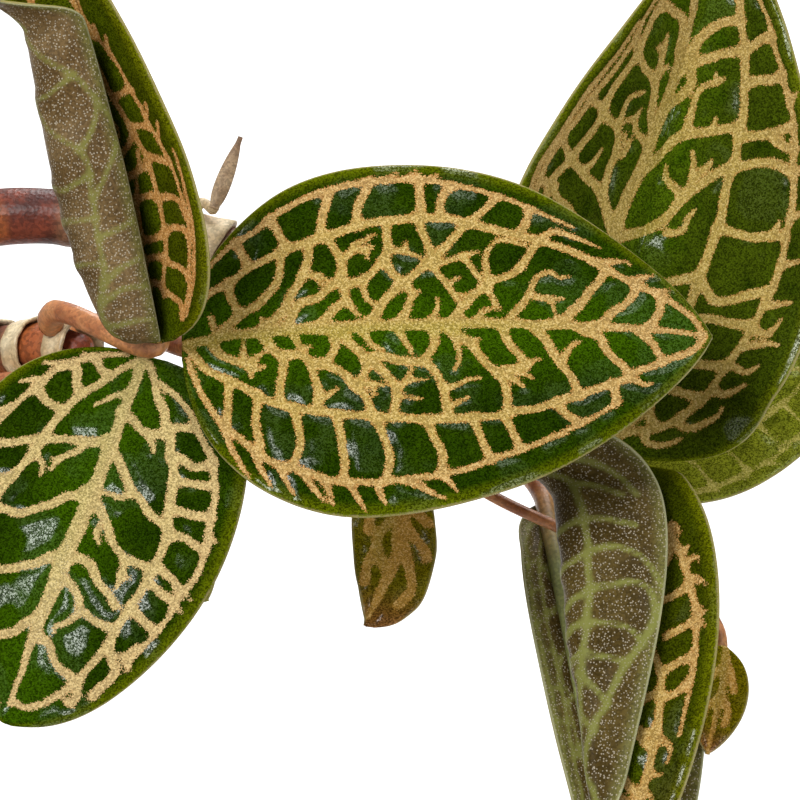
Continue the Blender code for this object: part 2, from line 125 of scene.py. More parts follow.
# Leaves
BLADE_THICKNESS = 0.5
MARGIN_THICKNESS = 0.16
QUILT_HEIGHT = 0.26
QUILT_REACH = 1.5
QUILT_MARGIN = 1.2
DRY_QUILT = 0.3
THIN_MARGIN = 0.8
BASE_HALF_WIDTH = 0.6
TIP_HALF_WIDTH = 0.3
PETIOLE_RADIUS = 1.25
RIB_END_RADIUS = 0.35
RIB_START = 0.02
RIB_REACH = 0.9
STALK_SIDES = 16
STALK_RIDGES = 5
STALK_RIDGE_SHARE = 0.035
STALK_FLARE = 0.25
STALK_RISE = 0.55
STALK_START = 8.0
STALK_EARLY = 0.45
STALK_LATE = 0.3
CUFF_WALL = 0.85
CUFF_SIDES = 8
CUFF_LENGTH = 3.2
SHEATH_SIDES = 32
SHEATH_THICKNESS = 0.42
SHEATH_GAP = 0.1
SHEATH_FLARE = 0.35
SHEATH_LEAN = 0.12
SHEATH_CREASES = 9
SHEATH_CREASE_DEPTH = 0.07
PROFILE_STEPS = 4
TIP_FADE = 0.1
WAVE_FADE = 0.2
FINE_SPACING = 0.75
SWELL_HEIGHT = 0.3
SWELL_SIZE = 9.0

# Veins
VEIN_STEP = 0.22
VEIN_BLEND = 0.2
VEIN_FAR = 2.6
WARP_REACH = 0.22
WARP_SIZE = 2.6
NET_LEAF_LENGTH = 60
NET_SPREAD = 1.3
NET_WEIGHT = 0.68
RUNG_SPACING = 4.1
TOOTH_SPACING = 3.3
RIB_SPACING = 5.6
STRIP_PER_TWIG = 7
LONGEST_TWIG = 2.9

# Each shoot is a smooth curve through these points, from its foot in the mix to its end.
SHOOTS = {
    1: [(4, 12, 42), (3, 14, 64), (2, 17, 95), (5, 17, 128), (12, 15, 150), (21, 9.5, 160.5),
        (32, 1.5, 166.5)],
    2: [(-6, 24, 42), (-7, 26, 64), (-9, 31, 100), (-4, 33, 138), (8, 32, 159), (20, 31, 166),
        (36, 29, 165.5), (54, 24, 162), (68, 16, 155), (79, 9, 149)],
    3: [(-9, -3, 42), (-11, -3, 64), (-20, -5, 92), (-33, -7, 118), (-41, -9, 136)],
    4: [(2, -17, 42), (1, -18, 64), (-2, -24, 84), (-7, -31, 99)],
}

# One half of a blade, from midrib to margin, at most width mm wide. It leaves the midrib at the
# angle lift and turns by curl between the fractions start and stop of its width. The exponents low
# and high set how full the outline is towards the base and towards the tip. Below the fraction fade
# of its length the lift and the curl are weaker. Past the first number in unroll the curl relaxes,
# and past the second one only the third's share of it is left. The fractions main and outer place
# the two long side veins. A leaf changes these values in halves for both halves, and in left and
# right for one.
HALF = dict(width=19, low=0.42, high=0.8, lift=4, curl=-10, start=0, stop=1, fade=0.16, unroll=None,
            main=0.55, outer=0.86)

# A leaf clasps its shoot at the distance below from the shoot's end, on the side that side points
# to, with a short cuff or with a sheath of the length sheath. Its stalk has the radius stalk, and
# arrive says how far back from the blade the stalk already follows it. The blade begins at base and
# runs length mm along heading and pitch. Its upper face looks towards face, an azimuth from the
# front and an elevation. It bows by arch mm towards its face and by sway mm to its side. In wave are
# the height of the margin's waves and their number. Angles are in degrees. The number fine is the
# spacing of its mesh, and slim scales its drawn veins. The shares browned, paled, blush and creamy
# turn it browner, turn it yellowish green, turn its veins and underside pinker and lighten its veins.
# The one that is dry is a bract without veins.
LEAVES = [
    dict(name="leaf_1_broad", shoot=1, below=9, arrive=0.1, side=(0.6, 1, -0.1), base=(44, -10, 175),
         heading=3, pitch=-1, length=60, face=(0, 58), arch=3, wave=(0.5, 2.2), fine=0.32, seed=11,
         halves=dict(width=21, curl=-8), left=dict(low=0.55, main=0.68, outer=0.92),
         right=dict(width=22.3, low=0.46, main=0.45, outer=0.83)),
    dict(name="leaf_1_front", shoot=1, below=15, arrive=0.1, side=(-0.6, -1, -0.1),
         base=(39.6, -8.8, 172.6), heading=-115, pitch=-38, length=44.5, face=(-12, 55), arch=3,
         wave=(0.5, 1.6), fine=0.32, seed=12, creamy=0.35, halves=dict(curl=-12),
         left=dict(width=17.8, low=0.34, high=0.5), right=dict(width=16.8, low=0.42, high=0.6)),
    dict(name="leaf_1_upright", shoot=1, below=2.2, side=(-0.5, -0.1, 1), base=(41.6, -12, 176.8),
         heading=119, pitch=60, length=53, face=(0, 35), arch=-2, sway=1, fine=0.42, seed=13, blush=1,
         browned=0.2, slim=0.85, left=dict(width=22, low=0.26, high=0.45, lift=-32, curl=265, start=0.05,
         fade=0.001, unroll=(0.7, 0.84, 0.5)),
         right=dict(width=13.4, low=0.34, high=1.1, lift=52, curl=5, fade=0.001)),
    dict(name="leaf_1_under", shoot=1, below=21, stalk=0.8, side=(0.5, 0.1, -1), base=(40.5, -3.5, 165.5),
         heading=-70, pitch=-50, length=26, face=(-30, 50), seed=14, paled=1,
         halves=dict(width=6, lift=10, curl=0)),
    dict(name="leaf_1_low", shoot=1, below=92, sheath=11, side=(1, -0.8, 0), base=(13, 8, 84), heading=-42,
         pitch=-5, length=54, face=(50, 68), arch=3, wave=(0.7, 1.9), seed=15, halves=dict(width=19)),
    dict(name="leaf_1_back", shoot=1, below=62, sheath=10, side=(-1, -0.3, 0), base=(-8, 14, 112),
         heading=168, pitch=8, length=54, face=(-60, 62), arch=3, wave=(0.6, 1.7), seed=16,
         halves=dict(width=18)),
    dict(name="leaf_2_tall", shoot=2, below=8, side=(0.3, 0.5, 1), base=(91, 5, 150), heading=65, pitch=57,
         length=67, face=(-10, 35), arch=-3, fine=0.42, seed=21, paled=0.12, slim=1.18,
         left=dict(width=24.3, low=0.55, high=1.15, lift=45, curl=20),
         right=dict(width=24, low=0.36, lift=12, curl=20)),
    dict(name="leaf_2_behind", shoot=2, below=14, side=(0.5, 1, 0), base=(93, 13, 143), heading=32,
         pitch=16, length=45, face=(10, 60), arch=3, fine=0.6, seed=22, paled=0.95,
         halves=dict(width=15, curl=0)),
    dict(name="leaf_2_folded", shoot=2, below=20, side=(0.1, -1, 0.5), base=(87.6, -2, 153), heading=-86,
         pitch=-25, length=57, face=(0, 45), arch=4, fine=0.45, seed=23, browned=0.15,
         left=dict(width=17, low=0.4, high=0.72, lift=12, curl=20), right=dict(width=18.5, low=0.5,
         high=1.5, lift=50, curl=130, start=0.1, stop=0.5, unroll=(0.75, 0.92, 0.4))),
    dict(name="leaf_2_hanging", shoot=2, below=26, side=(-0.1, 0.5, -1), base=(86, 8, 139.5), heading=-82,
         pitch=-24, length=58, face=(180, -45), arch=-4, fine=0.6, seed=24,
         left=dict(width=5, low=0.35, lift=-30, curl=0),
         right=dict(width=15, low=0.4, high=0.6, lift=0, curl=0)),
    dict(name="leaf_2_crinkled", shoot=2, below=36, stalk=0.8, side=(-0.2, -0.4, -1), base=(68, 9.5, 143.5),
         heading=-101, pitch=-27, length=21, face=(0, 50), arch=1, wave=(0.9, 2.3), fine=0.3, seed=25,
         browned=0.8, slim=1.25, paled=0.06, halves=dict(lift=10), left=dict(width=6.8, low=0.55, high=0.4),
         right=dict(width=4.4, low=0.3, high=1)),
    dict(name="leaf_2_stalked", shoot=2, below=2, stalk=0.7, side=(0.2, -0.8, -0.6),
         base=(106.3, -15.5, 136), heading=-101, pitch=-26, length=13.8, face=(20, 50), fine=0.3, seed=26,
         browned=0.8, slim=0.8, halves=dict(width=3.7, low=0.6, lift=15)),
    dict(name="leaf_2_low", shoot=2, below=158, sheath=11, side=(-0.3, 1, 0), base=(-11, 38, 98),
         heading=108, pitch=6, length=52, face=(180, 66), arch=3, wave=(0.6, 1.8), seed=27,
         halves=dict(width=17.5)),
    dict(name="leaf_2_left", shoot=2, below=118, sheath=11, side=(-1, 0, 0), base=(-13, 33, 141),
         heading=196, pitch=34, length=50, face=(-80, 62), arch=2, wave=(0.5, 1.6), seed=28,
         halves=dict(width=16.5)),
    dict(name="leaf_3_left", shoot=3, below=8, side=(-1, -0.1, 0), base=(-51, -11, 138), heading=190,
         pitch=5, length=55, face=(-70, 66), arch=3, wave=(0.6, 2.1), seed=31, halves=dict(width=19)),
    dict(name="leaf_3_back", shoot=3, below=14, side=(0, 1, 0), base=(-38, 4, 134), heading=94, pitch=18,
         length=48, face=(180, 60), arch=3, wave=(0.6, 1.7), seed=32, halves=dict(width=17)),
    dict(name="leaf_3_front", shoot=3, below=20, side=(0.3, -1, 0), base=(-37, -18, 133), heading=-74,
         pitch=-3, length=50, face=(10, 62), arch=3, wave=(0.6, 1.8), seed=33, halves=dict(width=18)),
    dict(name="leaf_3_young", shoot=3, below=2, side=(0.8, -0.2, 0.4), base=(-40, -10, 144), heading=150,
         pitch=66, length=40, face=(20, 25), seed=34, left=dict(width=11, lift=40, curl=60),
         right=dict(width=11, lift=35, curl=40)),
    dict(name="leaf_3_low", shoot=3, below=46, sheath=10, side=(-0.6, -1, 0), base=(-30, -14, 104),
         heading=222, pitch=-8, length=50, face=(-40, 66), arch=3, wave=(0.7, 1.7), seed=35,
         halves=dict(width=17.5)),
    dict(name="leaf_4_front", shoot=4, below=8, side=(0, -1, 0), base=(-9, -40, 102), heading=-101, pitch=2,
         length=46, face=(0, 64), arch=3, wave=(0.5, 1.8), seed=41, halves=dict(width=16)),
    dict(name="leaf_4_right", shoot=4, below=14, side=(1, 0, 0), base=(4, -29, 97), heading=-14, pitch=4,
         length=44, face=(70, 66), arch=2, wave=(0.5, 1.7), seed=42, halves=dict(width=15.5)),
    dict(name="leaf_4_left", shoot=4, below=20, side=(-1, 0.2, 0), base=(-13, -25, 93), heading=196,
         pitch=6, length=40, face=(-60, 62), arch=2, wave=(0.5, 1.6), seed=43, halves=dict(width=14)),
    dict(name="leaf_4_young", shoot=4, below=2, stalk=0.9, side=(0.3, 0.5, 0.5), base=(-7, -31, 107),
         heading=-70, pitch=70, length=28, face=(0, -20), seed=44, left=dict(width=7, lift=45, curl=60),
         right=dict(width=7, lift=40, curl=50)),
    dict(name="dry_bract", shoot=2, below=44, sheath=8, side=(-0.2, 0.6, 1), base=(46, 27, 169.7),
         heading=64, pitch=40, length=9.5, face=(0, 40), stalk=0.6, dry=True, fine=0.35, seed=51,
         halves=dict(width=1, lift=0, curl=0)),
]

# Vein lines of the leaves nearest to the camera, given for each half of a leaf. Each line is
# a row of pairs in thousandths: how far along the leaf, and how far out from the middle towards the
# margin. The lines along a leaf's middle, called midrib, broad or wide, are given with one half.
DRAWN = {}
DRAWN["leaf_1_broad", "left"] = dict(
    main=[(15, 450, 50, 580, 100, 540, 150, 570, 200, 580, 250, 590, 300, 610, 350, 645, 400, 650, 500, 670,
        550, 645, 600, 630, 700, 630, 750, 630, 800, 600, 850, 580, 900, 600, 950, 600, 972, 450, 980,
        100)],
    outer=[(30, 950, 60, 920, 100, 860, 150, 840, 200, 870, 300, 895, 400, 900, 500, 890, 600, 870, 700,
        840, 740, 850)],
    rung=[(105, 860, 125, 600), (170, 840, 185, 720, 200, 590), (280, 880, 270, 750, 265, 600), (360, 900,
        335, 750, 335, 630), (455, 900, 455, 670), (515, 880, 495, 780, 490, 680), (600, 860, 575, 750, 545,
        660), (660, 840, 655, 750, 640, 660)],
    tooth=[(675, 640, 690, 700, 710, 750, 755, 770, 790, 790), (775, 620, 800, 680, 835, 790, 850, 800),
        (855, 590, 870, 700, 890, 850), (895, 600, 910, 700, 920, 820)],
    rib=[(70, 50, 100, 200, 140, 250, 170, 320, 185, 420, 190, 580), (90, 550, 92, 420, 108, 210), (150, 40,
        190, 180, 205, 270, 228, 380, 237, 450, 240, 580), (190, 40, 220, 200, 255, 220, 285, 300, 300, 360,
        300, 430, 285, 530, 270, 600), (250, 30, 270, 90, 290, 160, 305, 200, 303, 290, 300, 360), (303,
        290, 325, 300, 347, 320, 365, 360, 380, 430, 390, 480, 390, 640), (335, 20, 360, 90, 375, 160, 390,
        210, 415, 270, 440, 320, 460, 380, 470, 430, 465, 500, 455, 580, 450, 660), (385, 400, 400, 320,
        415, 280), (400, 20, 420, 120, 430, 200, 420, 270), (535, 640, 510, 530, 485, 450, 472, 400), (500,
        20, 530, 140, 550, 220, 580, 290, 610, 340, 640, 420, 655, 500, 675, 620), (680, 30, 715, 70, 730,
        130, 755, 260, 765, 330, 785, 430, 800, 600), (765, 30, 790, 80, 810, 200, 835, 300, 850, 450, 855,
        580), (870, 20, 885, 150, 900, 330, 905, 580)],
    twig=[(55, 280, 60, 100), (150, 20, 150, 150), (228, 380, 245, 370, 260, 360, 272, 330), (300, 430, 320,
        480, 330, 520, 365, 570), (310, 180, 330, 100), (340, 310, 345, 200, 370, 140), (390, 470, 420, 460,
        450, 420), (455, 20, 475, 110, 478, 180), (465, 400, 490, 290, 505, 220, 520, 150), (470, 380, 500,
        400, 530, 450, 555, 480), (530, 440, 545, 370, 565, 280), (575, 280, 572, 420, 585, 530, 605, 570,
        645, 570), (575, 240, 585, 170, 595, 120), (550, 30, 560, 100, 580, 120), (610, 30, 620, 100, 640,
        170, 650, 240, 660, 330, 675, 380, 695, 410, 710, 385, 730, 410), (665, 220, 690, 220, 715, 230)],
    spur=[(325, 500, 345, 480, 350, 430), (340, 490, 360, 500), (420, 460, 425, 520), (432, 200, 447, 220),
        (500, 270, 525, 310), (510, 200, 535, 200), (690, 220, 700, 100), (255, 360, 262, 300), (390, 910,
        410, 950), (430, 900, 450, 950), (470, 900, 490, 940)],
    midrib=[(0, 0, 50, 30, 100, 50, 200, 45, 300, 35, 500, 30, 700, 30, 850, 35, 950, 30, 985, 0)])
DRAWN["leaf_1_broad", "right"] = dict(
    main=[(10, 100, 30, 220, 50, 300, 100, 340, 150, 410, 200, 435, 300, 460, 400, 490, 500, 520, 600, 540,
        700, 530, 800, 520, 850, 470, 900, 460, 950, 500, 975, 350, 982, 50)],
    outer=[(10, 350, 30, 550, 50, 660, 75, 720, 100, 735, 150, 790, 200, 790, 300, 820, 400, 820, 500, 820,
        600, 790, 700, 760, 750, 740, 800, 735)],
    rung=[(85, 340, 85, 550, 80, 700), (140, 390, 135, 550, 140, 720, 135, 770), (205, 430, 215, 570, 210,
        700, 195, 790), (285, 460, 290, 600, 295, 700, 290, 810), (355, 480, 370, 600, 380, 700, 370, 800),
        (445, 500, 460, 600, 475, 700, 475, 810), (535, 530, 545, 620, 555, 720, 565, 800), (595, 545, 605,
        640, 615, 720, 625, 780), (690, 540, 710, 640, 735, 740), (800, 510, 805, 600, 810, 720)],
    tooth=[(75, 730, 90, 860, 105, 930, 120, 970), (130, 770, 140, 860, 160, 950), (175, 800, 185, 870, 200,
        940), (220, 810, 240, 890, 255, 930), (255, 820, 265, 880, 270, 940), (305, 830, 315, 890, 330,
        960), (355, 830, 360, 880, 370, 940), (410, 830, 440, 880, 475, 950), (475, 830, 490, 880, 500,
        930), (830, 490, 860, 660, 875, 700)],
    rib=[(155, 20, 175, 100, 190, 150, 185, 250, 180, 330, 183, 420), (190, 120, 220, 120, 235, 150, 245,
        240, 250, 330, 250, 440), (55, 20, 70, 120, 100, 170, 130, 180), (280, 10, 285, 80, 270, 150, 250,
        170), (250, 170, 295, 220, 315, 300, 335, 350, 345, 420, 350, 470), (300, 10, 315, 70, 340, 150,
        335, 240, 320, 280), (340, 150, 370, 140, 400, 170, 425, 180, 455, 200, 475, 280, 485, 380, 490,
        510), (470, 10, 468, 100, 450, 180), (350, 160, 375, 240, 390, 300, 395, 380, 390, 480), (500, 10,
        525, 60, 540, 100, 560, 200, 580, 270, 595, 340, 600, 430, 600, 540), (585, 270, 620, 255, 637,
        250), (600, 10, 610, 100, 630, 190, 637, 250), (660, 10, 680, 90, 690, 180, 710, 300, 725, 390, 735,
        520), (750, 10, 780, 60, 790, 170, 805, 270, 825, 400, 830, 490), (860, 10, 880, 150, 895, 380, 900,
        460)],
    twig=[(115, 170, 113, 30), (130, 170, 145, 120, 155, 100), (120, 190, 140, 220, 155, 200), (123, 190,
        130, 280), (253, 380, 270, 340, 285, 310), (210, 10, 220, 70, 240, 70), (340, 10, 350, 70, 370,
        100), (405, 10, 420, 90, 425, 130), (395, 330, 415, 290, 425, 230), (335, 290, 370, 300), (495, 0,
        510, 80, 515, 170, 505, 240), (487, 350, 510, 335, 530, 310, 550, 300), (637, 250, 665, 220), (605,
        300, 630, 380), (705, 250, 720, 160, 740, 100)],
    spur=[(415, 290, 450, 280), (400, 370, 420, 380, 440, 390), (352, 300, 358, 360), (535, 80, 555, 70),
        (620, 280, 650, 340), (495, 440, 510, 430, 530, 420)])
DRAWN["leaf_1_front", "left"] = dict(
    main=[(20, 100, 50, 180, 85, 240, 130, 320, 170, 370, 200, 420, 235, 450, 270, 500, 305, 530, 370, 560,
        435, 600, 500, 610, 600, 600, 690, 585, 745, 600, 820, 580, 850, 580, 900, 500, 930, 420, 948, 280,
        945, 60)],
    outer=[(60, 270, 75, 370, 95, 450, 115, 530, 150, 600, 190, 690, 240, 770, 300, 810, 370, 840, 450, 870,
        520, 880, 580, 840, 650, 850, 740, 840, 770, 800)],
    rung=[(175, 390, 165, 470, 155, 580), (240, 460, 240, 550, 250, 620, 240, 700, 225, 750), (300, 530,
        295, 650, 285, 780), (370, 570, 370, 720, 355, 830), (440, 610, 435, 700, 445, 850), (520, 620, 535,
        730, 560, 830), (560, 600, 585, 760, 590, 830), (645, 600, 660, 700, 680, 830), (860, 580, 880, 680,
        905, 730, 905, 660), (745, 620, 770, 690, 800, 800, 825, 820, 845, 810, 875, 820)],
    rib=[(165, 20, 175, 120, 195, 200, 200, 270, 195, 400), (270, 40, 290, 130, 315, 180, 345, 250, 365,
        310, 380, 380, 400, 460, 420, 590), (400, 40, 440, 170, 465, 230, 495, 300, 520, 380, 530, 460, 535,
        600), (570, 60, 560, 140, 570, 220, 595, 300, 615, 370, 630, 440, 650, 500), (625, 60, 630, 150,
        650, 220, 680, 270, 690, 350, 700, 460, 710, 590), (775, 50, 790, 170, 810, 240, 830, 350, 845, 500,
        855, 580)],
    twig=[(205, 270, 225, 310, 245, 340), (365, 280, 385, 240, 385, 170, 385, 100), (475, 170, 490, 170,
        510, 220), (530, 410, 565, 430, 600, 450), (700, 270, 725, 220, 740, 160, 755, 170), (730, 800, 750,
        780, 760, 740), (765, 820, 790, 880)],
    spur=[(570, 430, 575, 490), (405, 850, 415, 910), (560, 860, 575, 920), (600, 840, 615, 910)],
    broad=[(0, 0, 100, 20, 250, 50, 450, 45, 600, 30, 800, 10, 950, 0)])
DRAWN["leaf_1_front", "right"] = dict(
    main=[(20, 80, 55, 190, 85, 240, 115, 280, 145, 340, 170, 370, 200, 385, 250, 410, 300, 420, 350, 450,
        400, 500, 450, 550, 550, 580, 700, 580, 850, 550, 930, 500, 965, 300)],
    outer=[(10, 400, 30, 580, 45, 630, 65, 680, 90, 710, 120, 720, 160, 710, 200, 730, 250, 760, 350, 820,
        500, 860, 650, 840, 800, 800)],
    rung=[(85, 250, 70, 380, 45, 620), (150, 360, 125, 450, 90, 580, 85, 700), (205, 390, 205, 470, 200,
        560, 185, 640, 165, 710), (300, 430, 310, 520, 330, 620, 350, 800), (420, 520, 430, 650, 440, 840),
        (500, 570, 510, 700, 530, 850), (580, 580, 600, 700, 610, 840), (670, 580, 690, 700, 700, 830),
        (760, 570, 780, 700, 790, 800)],
    tooth=[(95, 710, 90, 780, 100, 880), (145, 710, 150, 780, 170, 860), (240, 760, 260, 860), (360, 820,
        380, 930), (450, 850, 480, 950)],
    rib=[(245, 0, 260, 50, 270, 130, 275, 200, 280, 280, 290, 350, 295, 420), (390, 0, 410, 20, 420, 100,
        450, 170, 470, 250, 490, 320, 500, 390, 500, 570), (565, 0, 585, 80, 610, 160, 625, 250, 640, 330,
        660, 580), (715, 0, 740, 40, 755, 100, 785, 180, 800, 300, 830, 550)],
    twig=[(110, 0, 125, 60, 140, 120, 155, 160, 170, 200), (275, 130, 300, 150, 315, 200, 335, 250, 360,
        270, 370, 280), (330, 460, 360, 360, 390, 330)],
    spur=[(335, 250, 340, 300), (55, 660, 45, 760)])
DRAWN["leaf_2_tall", "left"] = dict(
    main=[(20, 200, 80, 420, 150, 500, 250, 600, 350, 720, 430, 760, 455, 750, 485, 700, 515, 670, 550, 620,
        580, 610, 630, 640, 670, 600, 700, 570, 735, 580, 780, 620, 850, 620, 920, 500, 960, 200)],
    outer=[(50, 800, 150, 840, 300, 850, 450, 860, 500, 870, 535, 850, 570, 810, 615, 790, 645, 760, 680,
        730, 710, 720, 735, 710, 775, 760, 850, 820), (400, 900, 470, 920, 550, 890, 620, 870, 700, 820,
        760, 820)],
    rung=[(530, 850, 510, 780, 490, 700), (610, 780, 600, 710, 600, 630), (735, 700, 720, 640, 705, 580),
        (490, 700, 475, 580, 460, 470, 450, 400, 420, 300, 390, 240), (100, 440, 110, 820), (180, 530, 190,
        840), (260, 610, 280, 850), (340, 710, 360, 860)],
    rib=[(385, 220, 435, 330, 480, 360, 525, 360, 560, 420, 580, 540, 590, 650), (575, 130, 605, 190, 640,
        220, 660, 270, 680, 400, 700, 530), (700, 50, 720, 100, 757, 120, 780, 220, 785, 350, 795, 500, 790,
        600), (50, 30, 100, 300, 140, 540), (150, 100, 200, 350, 240, 640), (250, 180, 300, 420, 340, 780),
        (330, 200, 370, 400, 400, 550, 440, 820), (800, 50, 860, 300, 880, 570)],
    twig=[(530, 370, 520, 300, 550, 280), (565, 420, 600, 440, 625, 430, 637, 320), (540, 130, 555, 200,
        570, 270, 588, 310, 583, 380), (665, 250, 685, 260, 710, 280, 722, 360), (710, 280, 745, 300), (670,
        240, 690, 170), (475, 560, 495, 500, 520, 480)],
    spur=[(588, 310, 607, 290), (440, 700, 425, 750), (545, 320, 560, 340)],
    wide=[(0, 0, 100, 50, 200, 140, 300, 190, 400, 190, 450, 170, 500, 140, 550, 120, 600, 100, 650, 70,
        700, 50, 800, 50, 950, 0)])
DRAWN["leaf_2_tall", "right"] = dict(
    main=[(20, 100, 50, 220, 100, 290, 200, 330, 330, 345, 350, 355, 400, 380, 450, 405, 500, 410, 550, 445,
        600, 465, 650, 485, 700, 490, 750, 500, 800, 485, 880, 460, 940, 400, 970, 150)],
    outer=[(20, 150, 45, 300, 60, 420, 80, 500, 115, 575, 145, 620, 190, 635, 230, 670, 265, 700, 310, 725,
        345, 760, 375, 770, 420, 790, 500, 825, 600, 850, 650, 875, 700, 850, 780, 820, 860, 760)],
    rung=[(750, 500, 762, 590, 778, 690, 785, 810), (690, 490, 703, 590, 710, 710, 725, 840), (600, 460,
        607, 580, 617, 680, 630, 780, 640, 860), (617, 680, 602, 780, 600, 850), (545, 440, 550, 500, 560,
        590, 568, 700, 560, 830), (430, 390, 430, 490, 430, 610, 440, 710, 445, 800), (335, 350, 320, 400,
        305, 460, 310, 540, 325, 620, 345, 750), (260, 340, 270, 460, 270, 580, 275, 690), (190, 330, 185,
        450, 190, 630), (100, 290, 80, 330, 65, 410), (140, 310, 130, 450, 130, 590), (850, 470, 860, 750)],
    tooth=[(315, 740, 330, 880), (270, 710, 265, 790, 285, 830, 297, 840), (235, 690, 245, 780, 250, 870),
        (195, 650, 190, 760, 205, 810), (150, 630, 145, 710, 155, 760, 168, 800), (90, 520, 75, 560, 75,
        630, 90, 690, 105, 730, 120, 740), (50, 380, 35, 430, 30, 520, 37, 600, 52, 640), (390, 780, 410,
        910), (480, 820, 500, 930), (560, 840, 580, 940), (680, 860, 700, 940)],
    rib=[(375, -150, 405, 40, 432, 110, 455, 145, 472, 180, 505, 275, 530, 360, 545, 440), (495, -130, 530,
        -30, 567, 60, 580, 120, 592, 230, 600, 300, 610, 400, 618, 470), (682, -60, 695, 20, 710, 100, 723,
        210, 735, 310, 750, 490), (700, 50, 670, 80, 645, 40, 628, -20, 600, -90), (705, 30, 728, 50, 752,
        100, 770, 170, 785, 270, 795, 390, 800, 480), (50, 0, 80, 100, 100, 180, 120, 290), (150, -100, 200,
        120, 230, 330), (250, -170, 300, 100, 340, 340), (850, -40, 880, 200, 900, 440)],
    twig=[(480, 190, 505, 200, 540, 190, 553, 175), (510, 210, 530, 270, 545, 300), (465, 160, 480, 130,
        497, 60, 515, 40), (400, 120, 410, 200, 435, 220, 452, 250), (580, 120, 610, 120, 642, 130, 668,
        170, 680, 260, 693, 330), (440, 710, 468, 750)],
    spur=[(600, 290, 622, 300), (682, 270, 698, 250)])
DRAWN["leaf_1_upright", "left"] = dict(
    rib=[(30, 600, 100, 650, 170, 750, 250, 770, 330, 790, 400, 800, 440, 770, 470, 700, 500, 620, 560,
        520), (440, 780, 470, 850, 500, 900, 530, 920, 570, 880, 600, 830, 630, 750, 660, 660, 700, 560),
        (470, 1000, 500, 970, 540, 920), (440, 990, 400, 920, 360, 860, 330, 800), (290, 500, 290, 650, 285,
        780), (240, 770, 250, 860, 260, 970), (190, 500, 190, 650, 185, 750), (140, 720, 170, 850, 180,
        970), (100, 660, 120, 820, 120, 970), (50, 620, 50, 800, 50, 950), (380, 800, 360, 650, 370, 500),
        (600, 830, 570, 680, 560, 520), (680, 300, 750, 330, 850, 350, 950, 200), (660, 30, 700, 120, 720,
        220, 725, 320), (740, 20, 780, 150, 800, 320), (720, 600, 800, 680, 900, 600), (740, 330, 750, 600),
        (830, 350, 840, 640)])
DRAWN["leaf_1_upright", "right"] = dict(
    main=[(600, 20, 550, 100, 500, 200, 450, 300, 400, 380, 350, 400, 300, 410, 250, 400, 200, 390, 150,
        300, 90, 220)],
    outer=[(650, 220, 630, 330, 600, 420, 550, 500, 500, 590, 450, 620, 400, 700, 350, 740, 300, 760, 250,
        770, 200, 750, 150, 700, 100, 680, 50, 600), (390, 850, 330, 860, 250, 840, 200, 820, 150, 780, 100,
        750, 40, 680)],
    rung=[(525, 160, 530, 350, 540, 510), (460, 270, 455, 420, 450, 610), (390, 400, 380, 580, 365, 720),
        (300, 410, 295, 550, 280, 680, 250, 750), (225, 400, 230, 550, 220, 680, 200, 740), (170, 340, 155,
        420, 140, 570, 120, 660), (100, 250, 90, 380, 70, 520, 40, 580), (350, 0, 360, 200, 370, 380), (290,
        20, 300, 120, 305, 270, 300, 400), (220, 0, 215, 180, 220, 380), (170, 0, 175, 180, 170, 330), (120,
        20, 125, 130, 110, 240), (440, 300, 420, 180, 400, 20), (300, 80, 260, 80, 220, 60), (660, 150, 700,
        60, 750, 30)],
    twig=[(400, 280, 370, 250, 360, 200), (655, 430, 630, 380, 610, 380), (455, 780, 430, 720, 420, 680),
        (500, 720, 480, 680, 475, 620), (680, 250, 660, 250, 655, 150), (310, 120, 330, 160, 340, 160)],
    spur=[(470, 50, 455, 90, 440, 80), (535, 520, 535, 600)],
    midrib=[(0, 0, 500, 0, 1000, 0)])
DRAWN["leaf_2_folded", "left"] = dict(
    main=[(500, 500, 550, 560, 600, 570, 650, 570, 700, 550, 750, 530, 780, 500, 810, 460, 860, 400, 940,
        200)],
    outer=[(150, 600, 220, 630, 250, 700, 300, 750, 350, 770, 400, 800, 450, 830, 500, 830, 550, 830, 600,
        810, 650, 800, 690, 800)],
    rung=[(410, 500, 400, 600, 395, 700, 385, 770), (480, 600, 470, 730, 465, 820), (550, 580, 540, 700,
        535, 800), (600, 570, 600, 700, 585, 790), (600, 420, 595, 500, 595, 570), (640, 300, 665, 450, 670,
        560), (670, 170, 655, 270, 665, 380, 690, 480, 700, 550), (270, 700, 310, 660, 340, 580, 360, 500),
        (660, 180, 690, 150, 720, 120), (720, 20, 735, 150, 750, 270, 775, 400, 785, 480), (750, 30, 765,
        130, 790, 270, 810, 440)],
    tooth=[(240, 670, 240, 740, 265, 800), (310, 760, 300, 830), (335, 770, 330, 850, 345, 880), (375, 790,
        380, 860, 400, 920), (440, 830, 450, 910), (460, 830, 480, 910), (680, 570, 700, 700, 720, 740, 735,
        720), (745, 540, 760, 700), (780, 500, 800, 640), (850, 420, 870, 600)],
    twig=[(680, 160, 700, 230)],
    midrib=[(0, 0, 500, 0, 750, 20, 1000, 0)])
DRAWN["leaf_2_folded", "right"] = dict(
    rib=[(30, 450, 200, 480, 350, 500, 450, 460, 550, 380, 650, 250, 720, 150), (440, 1000, 510, 880, 550,
        760, 585, 670, 620, 580, 650, 470, 690, 350, 750, 200), (60, 400, 100, 580, 140, 750, 200, 840),
        (160, 460, 170, 600, 200, 750), (250, 300, 250, 600, 270, 800), (330, 200, 330, 400, 310, 600, 330,
        800, 370, 920, 410, 1000), (420, 300, 400, 450, 390, 600, 385, 750, 400, 880, 450, 980), (470, 250,
        460, 400, 465, 600, 475, 750, 500, 880), (530, 200, 520, 380, 530, 600, 540, 770), (550, 340, 590,
        500, 615, 600), (600, 150, 630, 300, 660, 430), (720, 0, 740, 200, 770, 380, 820, 500), (760, 20,
        800, 150, 830, 300, 860, 450)])
